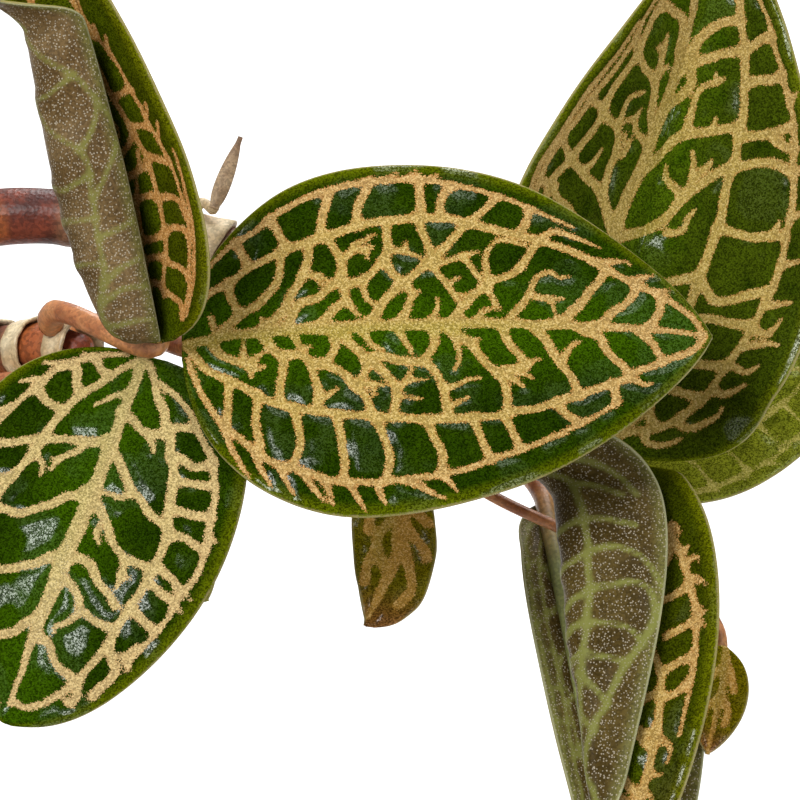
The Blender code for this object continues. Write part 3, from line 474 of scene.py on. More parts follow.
DRAWN["leaf_2_crinkled", "left"] = dict(
    rib=[(300, 300, 400, 500, 500, 720, 580, 850), (150, 300, 250, 550, 330, 850), (450, 320, 550, 450, 650,
        600, 760, 700, 860, 600), (360, 270, 350, 120, 400, 0, 480, -100, 570, -50, 630, 100, 680, 260)],
    midrib=[(0, 100, 300, 250, 450, 300, 600, 300, 750, 200, 950, 0)])
DRAWN["leaf_2_crinkled", "right"] = dict(
    rib=[(100, 100, 250, 400, 450, 500), (550, 100, 650, 400, 750, 500)])
DRAWN["leaf_2_stalked", "left"] = dict(
    rib=[(120, 100, 250, 400, 400, 550), (450, 130, 520, 350, 620, 500, 720, 500)],
    midrib=[(0, 100, 300, 150, 500, 120, 800, 30, 1000, 0)])
DRAWN["leaf_2_stalked", "right"] = dict(
    rib=[(200, 0, 350, 400, 500, 550), (500, 0, 600, 350, 700, 500)])

# The radii in mm along each kind of vein, from its start to its end.
VEIN_RADII = dict(midrib=(0.55, 0.68, 0.7, 0.66, 0.6, 0.5, 0.36), main=(0.48, 0.56, 0.56, 0.52, 0.4),
                  outer=(0.38, 0.45, 0.45, 0.4, 0.28), rung=(0.58, 0.52, 0.58), rib=(0.64, 0.57, 0.52, 0.54),
                  link=(0.5, 0.42, 0.48), twig=(0.48, 0.4, 0.28), spur=(0.34, 0.24),
                  tooth=(0.48, 0.4, 0.24), broad=(0.55, 0.68, 0.72, 0.78, 1.0, 1.05, 0.85, 0.5, 0.34),
                  wide=(0.7, 0.8, 0.85, 0.85, 0.8, 0.7, 0.5, 0.36))


def unit(vector):
    return vector / np.linalg.norm(vector, axis=-1, keepdims=True)


def ease(x):
    x = np.clip(x, 0, 1)
    return x * x * (3 - 2 * x)


def across_to(vector, axis):
    """The part of vector square to the unit vector axis, as a unit vector."""
    return unit(vector - axis * np.sum(vector * axis, axis=-1, keepdims=True))


def noise_at(points, size, seed=0.0):
    """Smooth noise from about -1 to 1 at points in mm, with lumps of about size mm."""
    shift = Vector((seed * 7.3, seed * 3.1, seed * 5.7))
    return np.array([noise.noise(Vector(p) / size + shift) for p in points])


def round_turns(count):
    """Angles in radians, evenly round a circle."""
    return 2 * math.pi * np.arange(count) / count


def around(sides, others, turns):
    """Directions square to a path, for each of its points and each of the turns."""
    return sides[:, None] * np.cos(turns)[None, :, None] + others[:, None] * np.sin(turns)[None, :, None]


def distances_along(path):
    """The distance along a path to each of its points."""
    steps = np.linalg.norm(np.diff(path, axis=0), axis=1)
    return np.concatenate([[0], np.cumsum(steps)])


# Meshes

def new_mesh(name, points, faces):
    """A mesh in metres from points in mm."""
    mesh = bpy.data.meshes.new(name)
    mesh.from_pydata((np.asarray(points, float) * MM).tolist(), [], faces)
    return mesh


def new_object(name, data):
    made = bpy.data.objects.new(name, data)
    bpy.context.collection.objects.link(made)
    return made


def mesh_piece(name, vertices, faces, looks, slot, nodes=(), values=None, face_looks=None):
    """A smooth mesh object that rides on the plant and stands for its solids.

    The numbers in values are carried at the vertices, and face_looks picks each face's look.
    """
    mesh = new_mesh(name, vertices, faces)
    for look in looks:
        mesh.materials.append(look)
    if face_looks is not None:
        mesh.polygons.foreach_set("material_index", np.asarray(face_looks, np.int32))
    for key, numbers in (values or {}).items():
        layer = mesh.attributes.new(key, "FLOAT", "POINT")
        layer.data.foreach_set("value", np.asarray(numbers, np.float32))
    mesh.shade_smooth()
    made = new_object(name, mesh)
    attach(made, "root")
    if nodes:
        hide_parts(*nodes)
    return made


def ring_faces(rings, sides):
    """Faces between rings of vertices, with a fan to the first and to the last vertex."""
    last = 1 + rings * sides
    faces = []
    for k in range(sides):
        after = (k + 1) % sides
        faces.append((0, 1 + after, 1 + k))
        faces.append((last, last - sides + k, last - sides + after))
        for ring in range(rings - 1):
            low = 1 + ring * sides
            faces.append((low + k, low + after, low + sides + after, low + sides + k))
    return faces


def curve_through(points, step):
    """Points about step mm apart on a smooth curve through the given ones."""
    points = np.array(points, float)
    ends = np.vstack([2 * points[0] - points[1], points, 2 * points[-1] - points[-2]])
    found = []
    for k in range(1, len(ends) - 2):
        a, b, c, d = ends[k - 1:k + 3]
        count = max(2, round(np.linalg.norm(c - b) / step))
        for t in np.arange(count) / count:
            found.append(0.5 * (2 * b + (c - a) * t + (2 * a - 5 * b + 4 * c - d) * t * t
                                + (3 * b - a - 3 * c + d) * t ** 3))
    found.append(points[-1])
    return np.array(found)


def carried_sides(path, first=FIRST_SIDE):
    """Unit tangents along a path, and a side vector carried along it without twisting."""
    tangents = unit(np.gradient(path, axis=0))
    side = across_to(np.array(first, float), tangents[0])
    sides = []
    for tangent in tangents:
        side = across_to(side, tangent)
        sides.append(side)
    return tangents, np.array(sides)


def tube_mesh(path, radii, count):
    """Vertices and faces of a tube along path; radii is one number per point or per vertex."""
    tangents, sides = carried_sides(path)
    others = np.cross(tangents, sides)
    radii = np.asarray(radii, float)
    if radii.ndim == 1:
        radii = np.repeat(radii[:, None], count, axis=1)
    rings = path[:, None] + around(sides, others, round_turns(count)) * radii[:, :, None]
    foot = path[0] - tangents[0] * radii[0].mean() * FOOT_CAP
    end = path[-1] + tangents[-1] * radii[-1].mean() * END_CAP
    return np.vstack([foot, rings.reshape(-1, 3), end]), ring_faces(len(path), count)


def joined(parts):
    """One list of vertices and faces from several."""
    faces = []
    first = 0
    for points, corners in parts:
        faces.extend(tuple(first + c for c in corner) for corner in corners)
        first += len(points)
    return np.vstack([points for points, _ in parts]), faces


# Shoots

class Shoot:
    """The middle line and the thickness of one stem."""

    def __init__(self, points):
        self.path = curve_through(points, STEM_STEP)
        self.along = distances_along(self.path)
        self.length = self.along[-1]

    def point(self, distance):
        return np.array([np.interp(distance, self.along, self.path[:, k]) for k in range(3)])

    def tangent(self, distance):
        return unit(self.point(distance + 1) - self.point(distance - 1))

    def radius(self, distance):
        share = np.clip(np.asarray(distance) / self.length, 0, 1)
        return STEM_FOOT_RADIUS + (STEM_END_RADIUS - STEM_FOOT_RADIUS) * share ** 1.5


# Blade shape

def half_profile(half, u, columns):
    """Offsets sideways and upwards, per mm of half-width, from midrib to margin at each u."""
    spread = ease(u / half["fade"]) * ease((1 - u) / TIP_FADE)
    curl = half["curl"] * spread
    if half["unroll"]:
        begin, end, rest = half["unroll"]
        curl = curl * (1 - (1 - rest) * ease((u - begin) / (end - begin)))
    steps = columns * PROFILE_STEPS
    share = (np.arange(steps) + 0.5) / steps
    turned = np.clip((share - half["start"]) / (half["stop"] - half["start"]), 0, 1)
    angle = np.radians((half["lift"] * spread)[:, None] + curl[:, None] * turned)
    across = np.cumsum(np.cos(angle), axis=1)[:, PROFILE_STEPS - 1::PROFILE_STEPS] / steps
    up = np.cumsum(np.sin(angle), axis=1)[:, PROFILE_STEPS - 1::PROFILE_STEPS] / steps
    return across, up


def half_width(half, u):
    low, high = half["low"], half["high"]
    full = low / (low + high)
    shape = u ** low * (1 - u) ** high / (full ** low * (1 - full) ** high)
    least = BASE_HALF_WIDTH + (TIP_HALF_WIDTH - BASE_HALF_WIDTH) * u
    return np.maximum(half["width"] * shape, least)


def half_of(leaf, key):
    return {**HALF, **leaf.get("halves", {}), **leaf.get(key, {})}


def direction(heading, pitch):
    heading, pitch = math.radians(heading), math.radians(pitch)
    level = math.cos(pitch)
    return np.array([math.cos(heading) * level, math.sin(heading) * level, math.sin(pitch)])


def midrib(leaf, u):
    """Points, directions and upward normals along the midrib of a leaf."""
    chord = direction(leaf["heading"], leaf["pitch"]) * leaf["length"]
    azimuth, elevation = leaf["face"]
    face = across_to(direction(azimuth - 90, elevation), unit(chord))
    side = unit(np.cross(chord, face))
    arch, sway = leaf.get("arch", 0), leaf.get("sway", 0)
    bow = (4 * u * (1 - u))[:, None]
    slope = (4 * (1 - 2 * u))[:, None]
    points = np.array(leaf["base"]) + chord * u[:, None] + (face * arch + side * sway) * bow
    along = unit(chord + (face * arch + side * sway) * slope)
    sides = unit(np.cross(along, face))
    return points, along, np.cross(sides, along)


def blade_surface(leaf, u, columns):
    """The blade's middle surface as points[row, column], and its flat coordinates in mm."""
    points, along, normals = midrib(leaf, u)
    sides = np.cross(along, normals)
    surface = np.zeros((len(u), 2 * columns + 1, 3))
    flat = np.zeros((len(u), 2 * columns + 1, 2))
    inset = np.zeros((len(u), 2 * columns + 1))
    surface[:, columns] = points
    flat[:, :, 0] = (u * leaf["length"])[:, None]
    height, count = leaf.get("wave", (0, 1))
    for sign, key in ((1, "right"), (-1, "left")):
        half = half_of(leaf, key)
        across, up = half_profile(half, u, columns)
        width = half_width(half, u)
        inset[:, columns] = np.maximum(inset[:, columns], width)
        for k in range(columns):
            share = (k + 1) / columns
            ripple = height * share ** 2 * np.sin(2 * math.pi * count * u + sign)
            calm = ease(u / WAVE_FADE) * ease((1 - u) / WAVE_FADE)
            lifted = up[:, k] * width + ripple * calm
            offset = sides * (sign * across[:, k] * width)[:, None] + normals * lifted[:, None]
            column = columns + sign * (k + 1)
            surface[:, column] = points + offset
            flat[:, column, 1] = sign * share * width
            inset[:, column] = (1 - share) * width
    return surface, flat, inset


def surface_normals(surface):
    return unit(np.cross(np.gradient(surface, axis=1), np.gradient(surface, axis=0)))


# Veins

def on_line(path, x):
    """The point at x on a long vein."""
    return np.array([x, np.interp(x, path[:, 0], path[:, 1])])


class Veins:
    """The vein lines of one blade, drawn on the flattened leaf in mm from its base."""

    def __init__(self, leaf):
        self.length = leaf["length"]
        self.chance = random.Random(leaf["seed"])
        self.lines = []
        drawn = (leaf["name"], "left") in DRAWN
        small = (self.length / NET_LEAF_LENGTH) ** 0.6
        self.spread = NET_SPREAD * small
        self.scale = leaf.get("slim", 1) if drawn else NET_WEIGHT * small
        if not drawn:
            self.draw_midrib()
        for sign, key in ((1, "right"), (-1, "left")):
            self.sign = sign
            self.half = half_of(leaf, key)
            if not drawn:
                self.draw_half()
                continue
            for kind, lines in DRAWN[leaf["name"], key].items():
                for line in lines:
                    self.draw_given(line, VEIN_RADII[kind])

    def jitter(self, amount):
        return self.chance.uniform(-amount, amount)

    def width_at(self, x):
        u = np.clip(np.asarray(x, float) / self.length, 0.0005, 0.9995)
        return half_width(self.half, u)

    def add(self, points, radii):
        """A smooth line through points in mm with a radius that runs through radii."""
        path = curve_through(points, VEIN_STEP)
        along = distances_along(path)
        knots = np.linspace(0, 1, len(radii)) * along[-1]
        self.lines.append((path, np.interp(along, knots, radii) * self.scale))
        return path

    def draw_given(self, line, radii):
        """A line given by pairs of thousandths along the leaf and across its half."""
        pairs = np.array(line, float).reshape(-1, 2) / 1000
        x = pairs[:, 0] * self.length
        self.add(np.column_stack([x, self.sign * pairs[:, 1] * self.width_at(x)]), radii)

    def draw_midrib(self):
        x = np.linspace(0, 0.985, 12) * self.length
        sway = [self.jitter(0.15) for _ in x]
        self.add(np.column_stack([x, sway]), VEIN_RADII["midrib"])

    def draw_long(self, fraction, stop, radii, rise=0.25):
        """A long side vein that keeps to a fraction of the half width."""
        u = np.linspace(0.012, stop, 16)
        shape = fraction * (0.4 + 0.6 * ease(u / rise))
        wobble = np.array([self.jitter(0.012) for _ in u])
        y = (shape + wobble) * self.width_at(u * self.length)
        return self.add(np.column_stack([u * self.length, self.sign * y]), radii)

    def between(self, start, end, bow, radii):
        """A gently bowed line from start to end."""
        start, end = np.array(start, float), np.array(end, float)
        chord = end - start
        square = np.array([-chord[1], chord[0]])
        points = []
        for t in np.linspace(0, 1, 5):
            points.append(start + chord * t + square * bow * 4 * t * (1 - t))
        return self.add(points, radii)

    def twig(self, start, angle, length, spurs):
        """A short free-ending line that curls, with smaller ones off its sides."""
        heading, bend = angle, self.chance.choice((-1, 1)) * self.chance.uniform(0.25, 0.75)
        point = np.array(start, float)
        points = [point]
        for _ in range(4):
            point = point + length / 4 * np.array([math.cos(heading), math.sin(heading)])
            heading += bend * 0.5
            points.append(point)
        self.add(points, VEIN_RADII["twig"])
        for k in range(spurs):
            root = points[2 + k % 3]
            turn = heading - bend + self.chance.choice((-1, 1)) * self.chance.uniform(0.8, 1.3)
            reach = length * self.chance.uniform(0.28, 0.42)
            tip = root + reach * np.array([math.cos(turn), math.sin(turn)])
            self.add([root, (root + tip) / 2 + self.jitter(0.12), tip], VEIN_RADII["spur"])

    def draw_half(self):
        half, size, sign = self.half, self.spread, self.sign
        widest = half["width"]
        if widest < 2.5:
            return
        main = self.draw_long(half["main"], 0.965, VEIN_RADII["main"])
        outer = self.draw_long(half["outer"], 0.86, VEIN_RADII["outer"], rise=0.12)
        self.draw_rungs(main, outer, RUNG_SPACING * size)
        self.draw_teeth(outer, TOOTH_SPACING * size)
        self.draw_ribs(main, RIB_SPACING * size)
        first = 0.02 * self.length
        inner = 0.17 * widest * self.chance.uniform(0.8, 1.2)
        points = [(first, 0), (first + 3 * size, sign * inner * 0.7), (first + 8 * size, sign * inner)]
        self.add(points, VEIN_RADII["link"])

    def draw_rungs(self, main, outer, spacing):
        """Cross veins between the two long veins."""
        x = 0.05 * self.length + self.jitter(0.5)
        while x < 0.86 * self.length:
            lean = self.chance.uniform(0.1, 1.1) * self.spread
            start = on_line(main, x)
            end = on_line(outer, x + lean)
            gap = abs(end[1] - start[1])
            if gap > 1.2:
                self.between(start, end, self.jitter(0.09), VEIN_RADII["rung"])
                if gap > 4 and self.chance.random() < 0.28:
                    root = start + (end - start) * self.chance.uniform(0.3, 0.7)
                    self.twig(root, self.chance.uniform(-0.5, 0.5), 1.5 * self.spread, 1)
            x += spacing * self.chance.uniform(0.78, 1.25)

    def draw_teeth(self, outer, spacing):
        """Short free veins outside the outer long vein, leaning towards the tip."""
        x = 0.07 * self.length + self.jitter(0.8)
        while x < 0.9 * self.length:
            start = on_line(outer, min(x, 0.86 * self.length))
            room = float(self.width_at(x)) - abs(start[1])
            reach = room * self.chance.uniform(0.55, 0.75)
            if room > 0.9:
                lean = reach * self.chance.uniform(0.5, 1.3) + 0.3
                end = start + np.array([lean, self.sign * reach])
                self.between(start, end, self.sign * self.chance.uniform(-0.12, 0.05), VEIN_RADII["tooth"])
            x += spacing * self.chance.uniform(0.75, 1.3)

    def draw_ribs(self, main, spacing):
        """Slanting veins from the midrib to the main long vein, with links and twigs."""
        ribs = []
        x = 0.045 * self.length
        while x < 0.9 * self.length:
            share = x / self.length
            slope = math.tan(math.radians(52 - 14 * share + self.jitter(4)))
            gap = abs(on_line(main, x)[1])
            for _ in range(4):
                reach = gap / slope
                gap = abs(on_line(main, min(x + reach, 0.95 * self.length))[1])
            end = on_line(main, min(x + reach, 0.955 * self.length))
            start = np.array([x, 0.0])
            bow = -self.sign * self.chance.uniform(0.02, 0.1)
            ribs.append(self.between(start, end, bow, VEIN_RADII["rib"]))
            x += spacing * self.chance.uniform(0.8, 1.2) * (1 - 0.25 * share)
        for near, far in zip(ribs, ribs[1:]):
            self.fill_between(near, far)

    def fill_between(self, near, far):
        """Links and twigs in the strip between two neighbouring ribs."""
        span = np.linalg.norm(near[-1] - near[0])
        if span < 3:
            return
        for low, high, odds in ((0.3, 0.5, 0.75), (0.62, 0.82, 0.5)):
            if self.chance.random() > odds:
                continue
            a = near[int(len(near) * self.chance.uniform(low, high))]
            b = far[int(len(far) * self.chance.uniform(low - 0.22, high - 0.25))]
            self.between(a, b, self.jitter(0.16), VEIN_RADII["link"])
        for _ in range(max(1, round(span / STRIP_PER_TWIG))):
            line, other = (near, far) if self.chance.random() < 0.6 else (far, near)
            t = self.chance.uniform(0.12, 0.92)
            root = line[int((len(line) - 1) * t)]
            toward = other[int((len(other) - 1) * np.clip(t + self.jitter(0.2), 0, 1))]
            aim = toward - root
            room = np.linalg.norm(aim)
            if room > 1.6:
                angle = math.atan2(aim[1], aim[0]) + self.jitter(0.5)
                length = min(room * self.chance.uniform(0.55, 0.75), LONGEST_TWIG)
                self.twig(root, angle, length, self.chance.choice((1, 2, 2)))

    def distances(self, places):
        """Signed distance in mm from each flat place to the nearest vein's edge."""
        total = np.full(len(places), math.exp(-VEIN_FAR / VEIN_BLEND))
        for path, radii in self.lines:
            low, high = path.min(axis=0) - VEIN_FAR, path.max(axis=0) + VEIN_FAR
            near = np.nonzero(np.all((places > low) & (places < high), axis=1))[0]
            if not len(near):
                continue
            gaps = places[near][:, None] - path[None]
            reach = np.sqrt((gaps ** 2).sum(axis=2)) - radii
            total[near] += np.exp(-np.minimum(reach.min(axis=1), VEIN_FAR) / VEIN_BLEND)
        return -VEIN_BLEND * np.log(total)


# Leaves

def slot_of(leaf):
    return "bract" if leaf.get("dry") else "leaf"


def blade_rows(count):
    """Places along a blade from 0 to 1, closer together near its ends."""
    t = np.arange(count + 1) / count
    return 0.3 * t + 0.7 * (0.5 - 0.5 * np.cos(math.pi * t))


def blade_faces(rows, count):
    """Faces of a blade's two skins and its rim, and the number of each face's look."""
    under = (rows + 1) * count
    faces, sides = [], []
    for i in range(rows):
        for j in range(count - 1):
            a, b = i * count + j, i * count + j + 1
            c, d = b + count, a + count
            faces.append((a, b, c, d))
            faces.append((under + d, under + c, under + b, under + a))
            sides += [0, 1]
    rim = [i * count for i in range(rows, 0, -1)] + list(range(count - 1))
    rim += [i * count + count - 1 for i in range(rows)]
    rim += [rows * count + j for j in range(count - 1, 0, -1)]
    for a, b in zip(rim, rim[1:] + rim[:1]):
        faces.append((b, a, under + a, under + b))
        sides.append(0)
    return faces, sides


def blade_piece(leaf, looks):
    """A leaf blade with sunken veins on its upper face and raised ones below."""
    spacing = leaf.get("fine", FINE_SPACING)
    widest = max(half_of(leaf, key)["width"] for key in ("left", "right"))
    rows = max(16, round(leaf["length"] / spacing))
    columns = max(6, round(widest / spacing))
    surface, flat, inset = blade_surface(leaf, blade_rows(rows), columns)
    places = flat.reshape(-1, 2)
    warp = noise_at(np.column_stack([places, np.zeros(len(places))]), WARP_SIZE, leaf["seed"])
    shifted = places + WARP_REACH * warp[:, None]
    vein = np.ones(len(places)) if leaf.get("dry") else Veins(leaf).distances(shifted)
    vein = vein.reshape(inset.shape)
    normals = surface_normals(surface)
    calm = ease(inset / QUILT_MARGIN)
    swell = noise_at(surface.reshape(-1, 3), SWELL_SIZE, leaf["seed"]).reshape(inset.shape)
    quilt = QUILT_HEIGHT * ease((vein + 0.35) / QUILT_REACH) * calm
    quilt = quilt + SWELL_HEIGHT * swell * ease(inset / 0.5 + 0.4)
    if leaf.get("dry"):
        quilt = quilt * DRY_QUILT
    surface = surface + normals * quilt[:, :, None]
    normals = surface_normals(surface)
    fuller = (BLADE_THICKNESS - MARGIN_THICKNESS) * np.sqrt(ease(inset / THIN_MARGIN))
    half_thick = 0.5 * (MARGIN_THICKNESS + fuller)
    lift = normals * half_thick[:, :, None]
    vertices = np.vstack([(surface + lift).reshape(-1, 3), (surface - lift).reshape(-1, 3)])
    faces, sides = blade_faces(rows, 2 * columns + 1)
    values = {
        "vein": np.tile(vein.ravel(), 2),
        "margin": np.tile(inset.ravel(), 2),
        "rib": np.tile(np.abs(flat[:, :, 1]).ravel(), 2),
        "along": np.tile((flat[:, :, 0] / leaf["length"]).ravel(), 2),
    }
    for tint in ("browned", "paled", "blush", "creamy"):
        values[tint] = np.full(2 * len(places), float(leaf.get(tint, 0)))
    mesh_piece(leaf["name"] + "_blade", vertices, faces, looks, slot_of(leaf), [leaf["name"]], values,
               sides)


def cuff_bore(leaf, shoot):
    """The corner radius of the solid cuff's bore."""
    widest = shoot.radius(shoot.length - leaf["below"] - leaf.get("sheath", CUFF_LENGTH) / 2)
    return (widest + FIT_GAP) / math.cos(math.pi / CUFF_SIDES)


def petiole_path(leaf, shoot):
    """The leaf stalk, from its cuff along the shoot to the blade and on under its midrib."""
    distance = shoot.length - leaf["below"]
    here, tangent = shoot.point(distance), shoot.tangent(distance)
    side = across_to(np.array(leaf["side"], float), tangent)
    leave = tangent * STALK_RISE + side * math.sqrt(1 - STALK_RISE ** 2)
    thick = leaf.get("stalk", PETIOLE_RADIUS)
    start = here + side * (cuff_bore(leaf, shoot) + CUFF_WALL / 2 + thick * STALK_RISE)
    u = np.linspace(RIB_START, RIB_REACH, max(8, round(leaf["length"] / 1.2)))
    points, along, normals = midrib(leaf, u)
    share = np.clip((u - RIB_START) / (RIB_REACH - RIB_START), 0, 1)
    radii = RIB_END_RADIUS + (thick - RIB_END_RADIUS) * (1 - share) ** 1.6
    rib = points - normals * radii[:, None]
    end = rib[0]
    reach = np.linalg.norm(end - start)
    t = np.linspace(0, 1, max(10, round(reach / 0.9)))[:-1, None]
    early = start + leave * min(reach * STALK_EARLY, STALK_START)
    late = end - along[0] * reach * leaf.get("arrive", STALK_LATE)
    stalk = ((1 - t) ** 3 * start + 3 * t * (1 - t) ** 2 * early + 3 * t * t * (1 - t) * late
             + t ** 3 * end)
    stalk_radii = thick * (1 + STALK_FLARE * (1 - ease(t[:, 0] / 0.25)))
    root = start - leave * thick * 0.8
    path = np.vstack([root, stalk, rib])
    return path, np.concatenate([[thick * 1.2], stalk_radii, radii]), len(stalk) + 1


def sheath_mesh(leaf, shoot):
    """The thin tubular base that wraps the stem, with a slanted and slightly flared mouth."""
    length = leaf.get("sheath", CUFF_LENGTH)
    middle = shoot.length - leaf["below"]
    share = np.linspace(0, 1, max(6, round(length / 0.8)))
    stations = middle + (share - 0.5) * length
    path = np.array([shoot.point(s) for s in stations])
    tangents, facing = carried_sides(path, leaf["side"])
    turns = round_turns(SHEATH_SIDES)
    outward = around(facing, np.cross(tangents, facing), turns)
    bore = shoot.radius(stations) + SHEATH_GAP
    flare = SHEATH_FLARE * ease((share - 0.7) / 0.3)
    lean = np.cos(turns)[None, :] * SHEATH_LEAN * length * share[:, None] ** 2
    crease = SHEATH_CREASE_DEPTH * np.sin(turns * SHEATH_CREASES + leaf["seed"])[None, :]
    parts = []
    for wall in (SHEATH_THICKNESS, 0.0):
        radius = (bore + flare + wall)[:, None] + crease
        ring = path[:, None] + outward * radius[:, :, None] + tangents[:, None] * lean[:, :, None]
        parts.append(ring if wall else ring[::-1])
    rings = np.concatenate(parts)
    faces = []
    total = len(rings)
    for ring in range(total):
        low, high = ring * SHEATH_SIDES, (ring + 1) % total * SHEATH_SIDES
        for k in range(SHEATH_SIDES):
            after = (k + 1) % SHEATH_SIDES
            faces.append((low + k, low + after, high + after, high + k))
    return rings.reshape(-1, 3), faces


def stalk_piece(leaf, shoot, look):
    """The stalk, the rib that it becomes under the blade, and the sheath round the stem."""
    path, radii, joint = petiole_path(leaf, shoot)
    ridges = 1 + STALK_RIDGE_SHARE * np.sin(round_turns(STALK_SIDES) * STALK_RIDGES)[None, :]
    stalk = tube_mesh(path, radii[:, None] * ridges, STALK_SIDES)
    sheath = sheath_mesh(leaf, shoot)
    vertices, faces = joined([stalk, sheath])
    ring = np.repeat(np.arange(len(path)), STALK_SIDES)
    share = np.clip((ring - joint + 3) / 12, 0, 1)
    green = np.concatenate([[0], share, [1], np.zeros(len(sheath[0]))])
    papery = np.concatenate([np.zeros(len(stalk[0])), np.ones(len(sheath[0]))])
    values = {"green": green, "papery": papery}
    mesh_piece(leaf["name"] + "_stalk", vertices, faces, [look], slot_of(leaf), [leaf["name"]], values)


# Stems

def stem_piece(number, shoot, leaves, look):
    """A fleshy stem with a swelling and a ring at each joint, and in places a growing tip."""
    fine = np.arange(0, shoot.length, STEM_FINE_STEP)
    smooth = curve_through(shoot.path, 1.0)
    along = distances_along(smooth)
    stations = fine * along[-1] / shoot.length
    path = np.column_stack([np.interp(stations, along, smooth[:, k]) for k in range(3)])
    radii = shoot.radius(fine)
    bud_length = BUD_LENGTHS.get(number, 0)
    if bud_length:
        bud = np.linspace(0, 0.97, BUD_RINGS)[1:]
        tangent = unit(path[-1] - path[-2])
        path = np.vstack([path, path[-1] + tangent * bud[:, None] * bud_length])
        fine = np.concatenate([fine, fine[-1] + bud * bud_length])
        radii = np.concatenate([radii, radii[-1] * (1 - bud ** 1.7)])
    else:
        end = np.clip((shoot.length - fine) / STEM_STEP, 0, 1)
        radii = radii * (STEM_END_SHARE + (1 - STEM_END_SHARE) * end)
    joint = np.zeros(len(fine))
    places = [shoot.length - leaf["below"] - leaf.get("sheath", CUFF_LENGTH) / 2 for leaf in leaves]
    places += list(np.arange(LOWEST_RING, shoot.length - BARE_END, RING_SPACING))
    for place in places:
        joint = np.maximum(joint, np.exp(-((fine - place) / RING_WIDTH) ** 2))
    ridges = STEM_RIDGE_HEIGHT * np.sin(round_turns(STEM_SIDES) * STEM_RIDGES + number)[None, :]
    bumps = STEM_LUMP_HEIGHT * noise_at(path, STEM_LUMP_SIZE, number)[:, None]
    calm = np.clip(radii / 1.5, 0, 1)[:, None]
    shape = radii[:, None] + calm * (RING_HEIGHT * joint[:, None] + ridges + bumps - STEM_TUCK)
    vertices, faces = tube_mesh(path, shape, STEM_SIDES)
    rings = np.concatenate([[joint[0]], np.repeat(joint, STEM_SIDES), [joint[-1]]])
    share = np.clip(fine / shoot.length, 0, 1)
    height = np.concatenate([[0], np.repeat(share, STEM_SIDES), [1]])
    values = {"joint": rings, "height": height}
    mesh_piece(f"stem_{number}_flesh", vertices, faces, [look], "stem", [f"stem_{number}"], values)


# Pot and potting mix

def inner_radius(height):
    """The pot's inner radius at a height above its floor."""
    share = (height - POT_FLOOR) / (POT_HEIGHT - POT_FLOOR)
    foot = POT_FOOT_RADIUS - POT_WALL
    return foot + (POT_TOP_RADIUS - POT_WALL - foot) * share


def rounded(profile, corners):
    """A profile whose corners are replaced by short arcs; corners gives each one's radius."""
    points = []
    for k, (here, size) in enumerate(zip(profile, corners)):
        here = np.array(here, float)
        if size == 0:
            points.append(here)
            continue
        before = unit(np.array(profile[k - 1], float) - here)
        after = unit(np.array(profile[k + 1], float) - here)
        for t in np.linspace(0, 1, 5):
            a, b = here + before * size, here + after * size
            points.append((1 - t) ** 2 * a + 2 * t * (1 - t) * here + t ** 2 * b)
    return points


def pot_piece(look):
    """The clay pot, turned with slightly uneven walls, with round drainage holes."""
    band = POT_HEIGHT - RIM_BAND
    under_band = inner_radius(band) + POT_WALL - RIM_STEP * 0.4
    profile = [(0, 0.4), (POT_FOOT_RADIUS - 3, 0.4), (POT_FOOT_RADIUS - 2, 0), (POT_FOOT_RADIUS, 0),
               (under_band, band - 0.2), (under_band + RIM_STEP, band + 0.2),
               (POT_TOP_RADIUS, POT_HEIGHT), (inner_radius(POT_HEIGHT), POT_HEIGHT),
               (inner_radius(POT_FLOOR), POT_FLOOR), (0, POT_FLOOR)]
    points = rounded(profile, [0, 0, 0, 0.9, 0.5, 0.9, 1.5, 1.5, 2.0, 0])
    fine = [points[0]]
    for a, b in zip(points, points[1:]):
        count = max(1, round(np.linalg.norm(b - a) / PROFILE_SPACING))
        fine += [a + (b - a) * t / count for t in range(1, count + 1)]
    turns = round_turns(POT_SIDES)
    rings = []
    for radius, height in fine[1:-1]:
        uneven = 1 + 0.0012 * math.sin(height * 1.9) + 0.0015 * np.sin(turns * 2 + 0.6)
        rings.append(np.column_stack([radius * uneven * np.cos(turns), radius * uneven * np.sin(turns),
                                      np.full(POT_SIDES, height)]))
    vertices = np.vstack([[0, 0, fine[0][1]], *rings, [0, 0, fine[-1][1]]])
    faces = ring_faces(len(rings), POT_SIDES)
    made = mesh_piece("pot_clay", vertices, faces, [look], "terracotta", ["pot"])
    for k in range(DRAIN_HOLES):
        turn = 2 * math.pi * (k + 0.5) / DRAIN_HOLES
        place = np.array([DRAIN_RING * math.cos(turn), DRAIN_RING * math.sin(turn), 0])
        heights = np.array([[0, 0, -POT_FLOOR], [0, 0, 2 * POT_FLOOR]])
        cut_hole(made, *tube_mesh(place + heights, [DRAIN_RADIUS] * 2, DRAIN_SIDES), look)


def cut_hole(target, points, faces, look):
    """Takes the closed shape out of target and smooths what is left."""
    tool = new_object("hole", new_mesh("hole", points, faces))
    modifier = target.modifiers.new("hole", "BOOLEAN")
    modifier.operation = "DIFFERENCE"
    modifier.object = tool
    graph = bpy.context.evaluated_depsgraph_get()
    cut = bpy.data.meshes.new_from_object(target.evaluated_get(graph))
    target.modifiers.clear()
    target.data = cut
    cut.materials.clear()
    cut.materials.append(look)
    cut.shade_smooth()
    cut.set_sharp_from_angle(angle=math.radians(50))
    bpy.data.objects.remove(tool)


def mix_height(x, y):
    """The height of the mix's surface."""
    lump = noise.noise(Vector((x, y, 3.7)) / 6.5)
    grit = noise.noise(Vector((x, y, 9.1)) / 2.1)
    return MIX_TOP - 1.2 + 1.3 * lump + 0.5 * grit


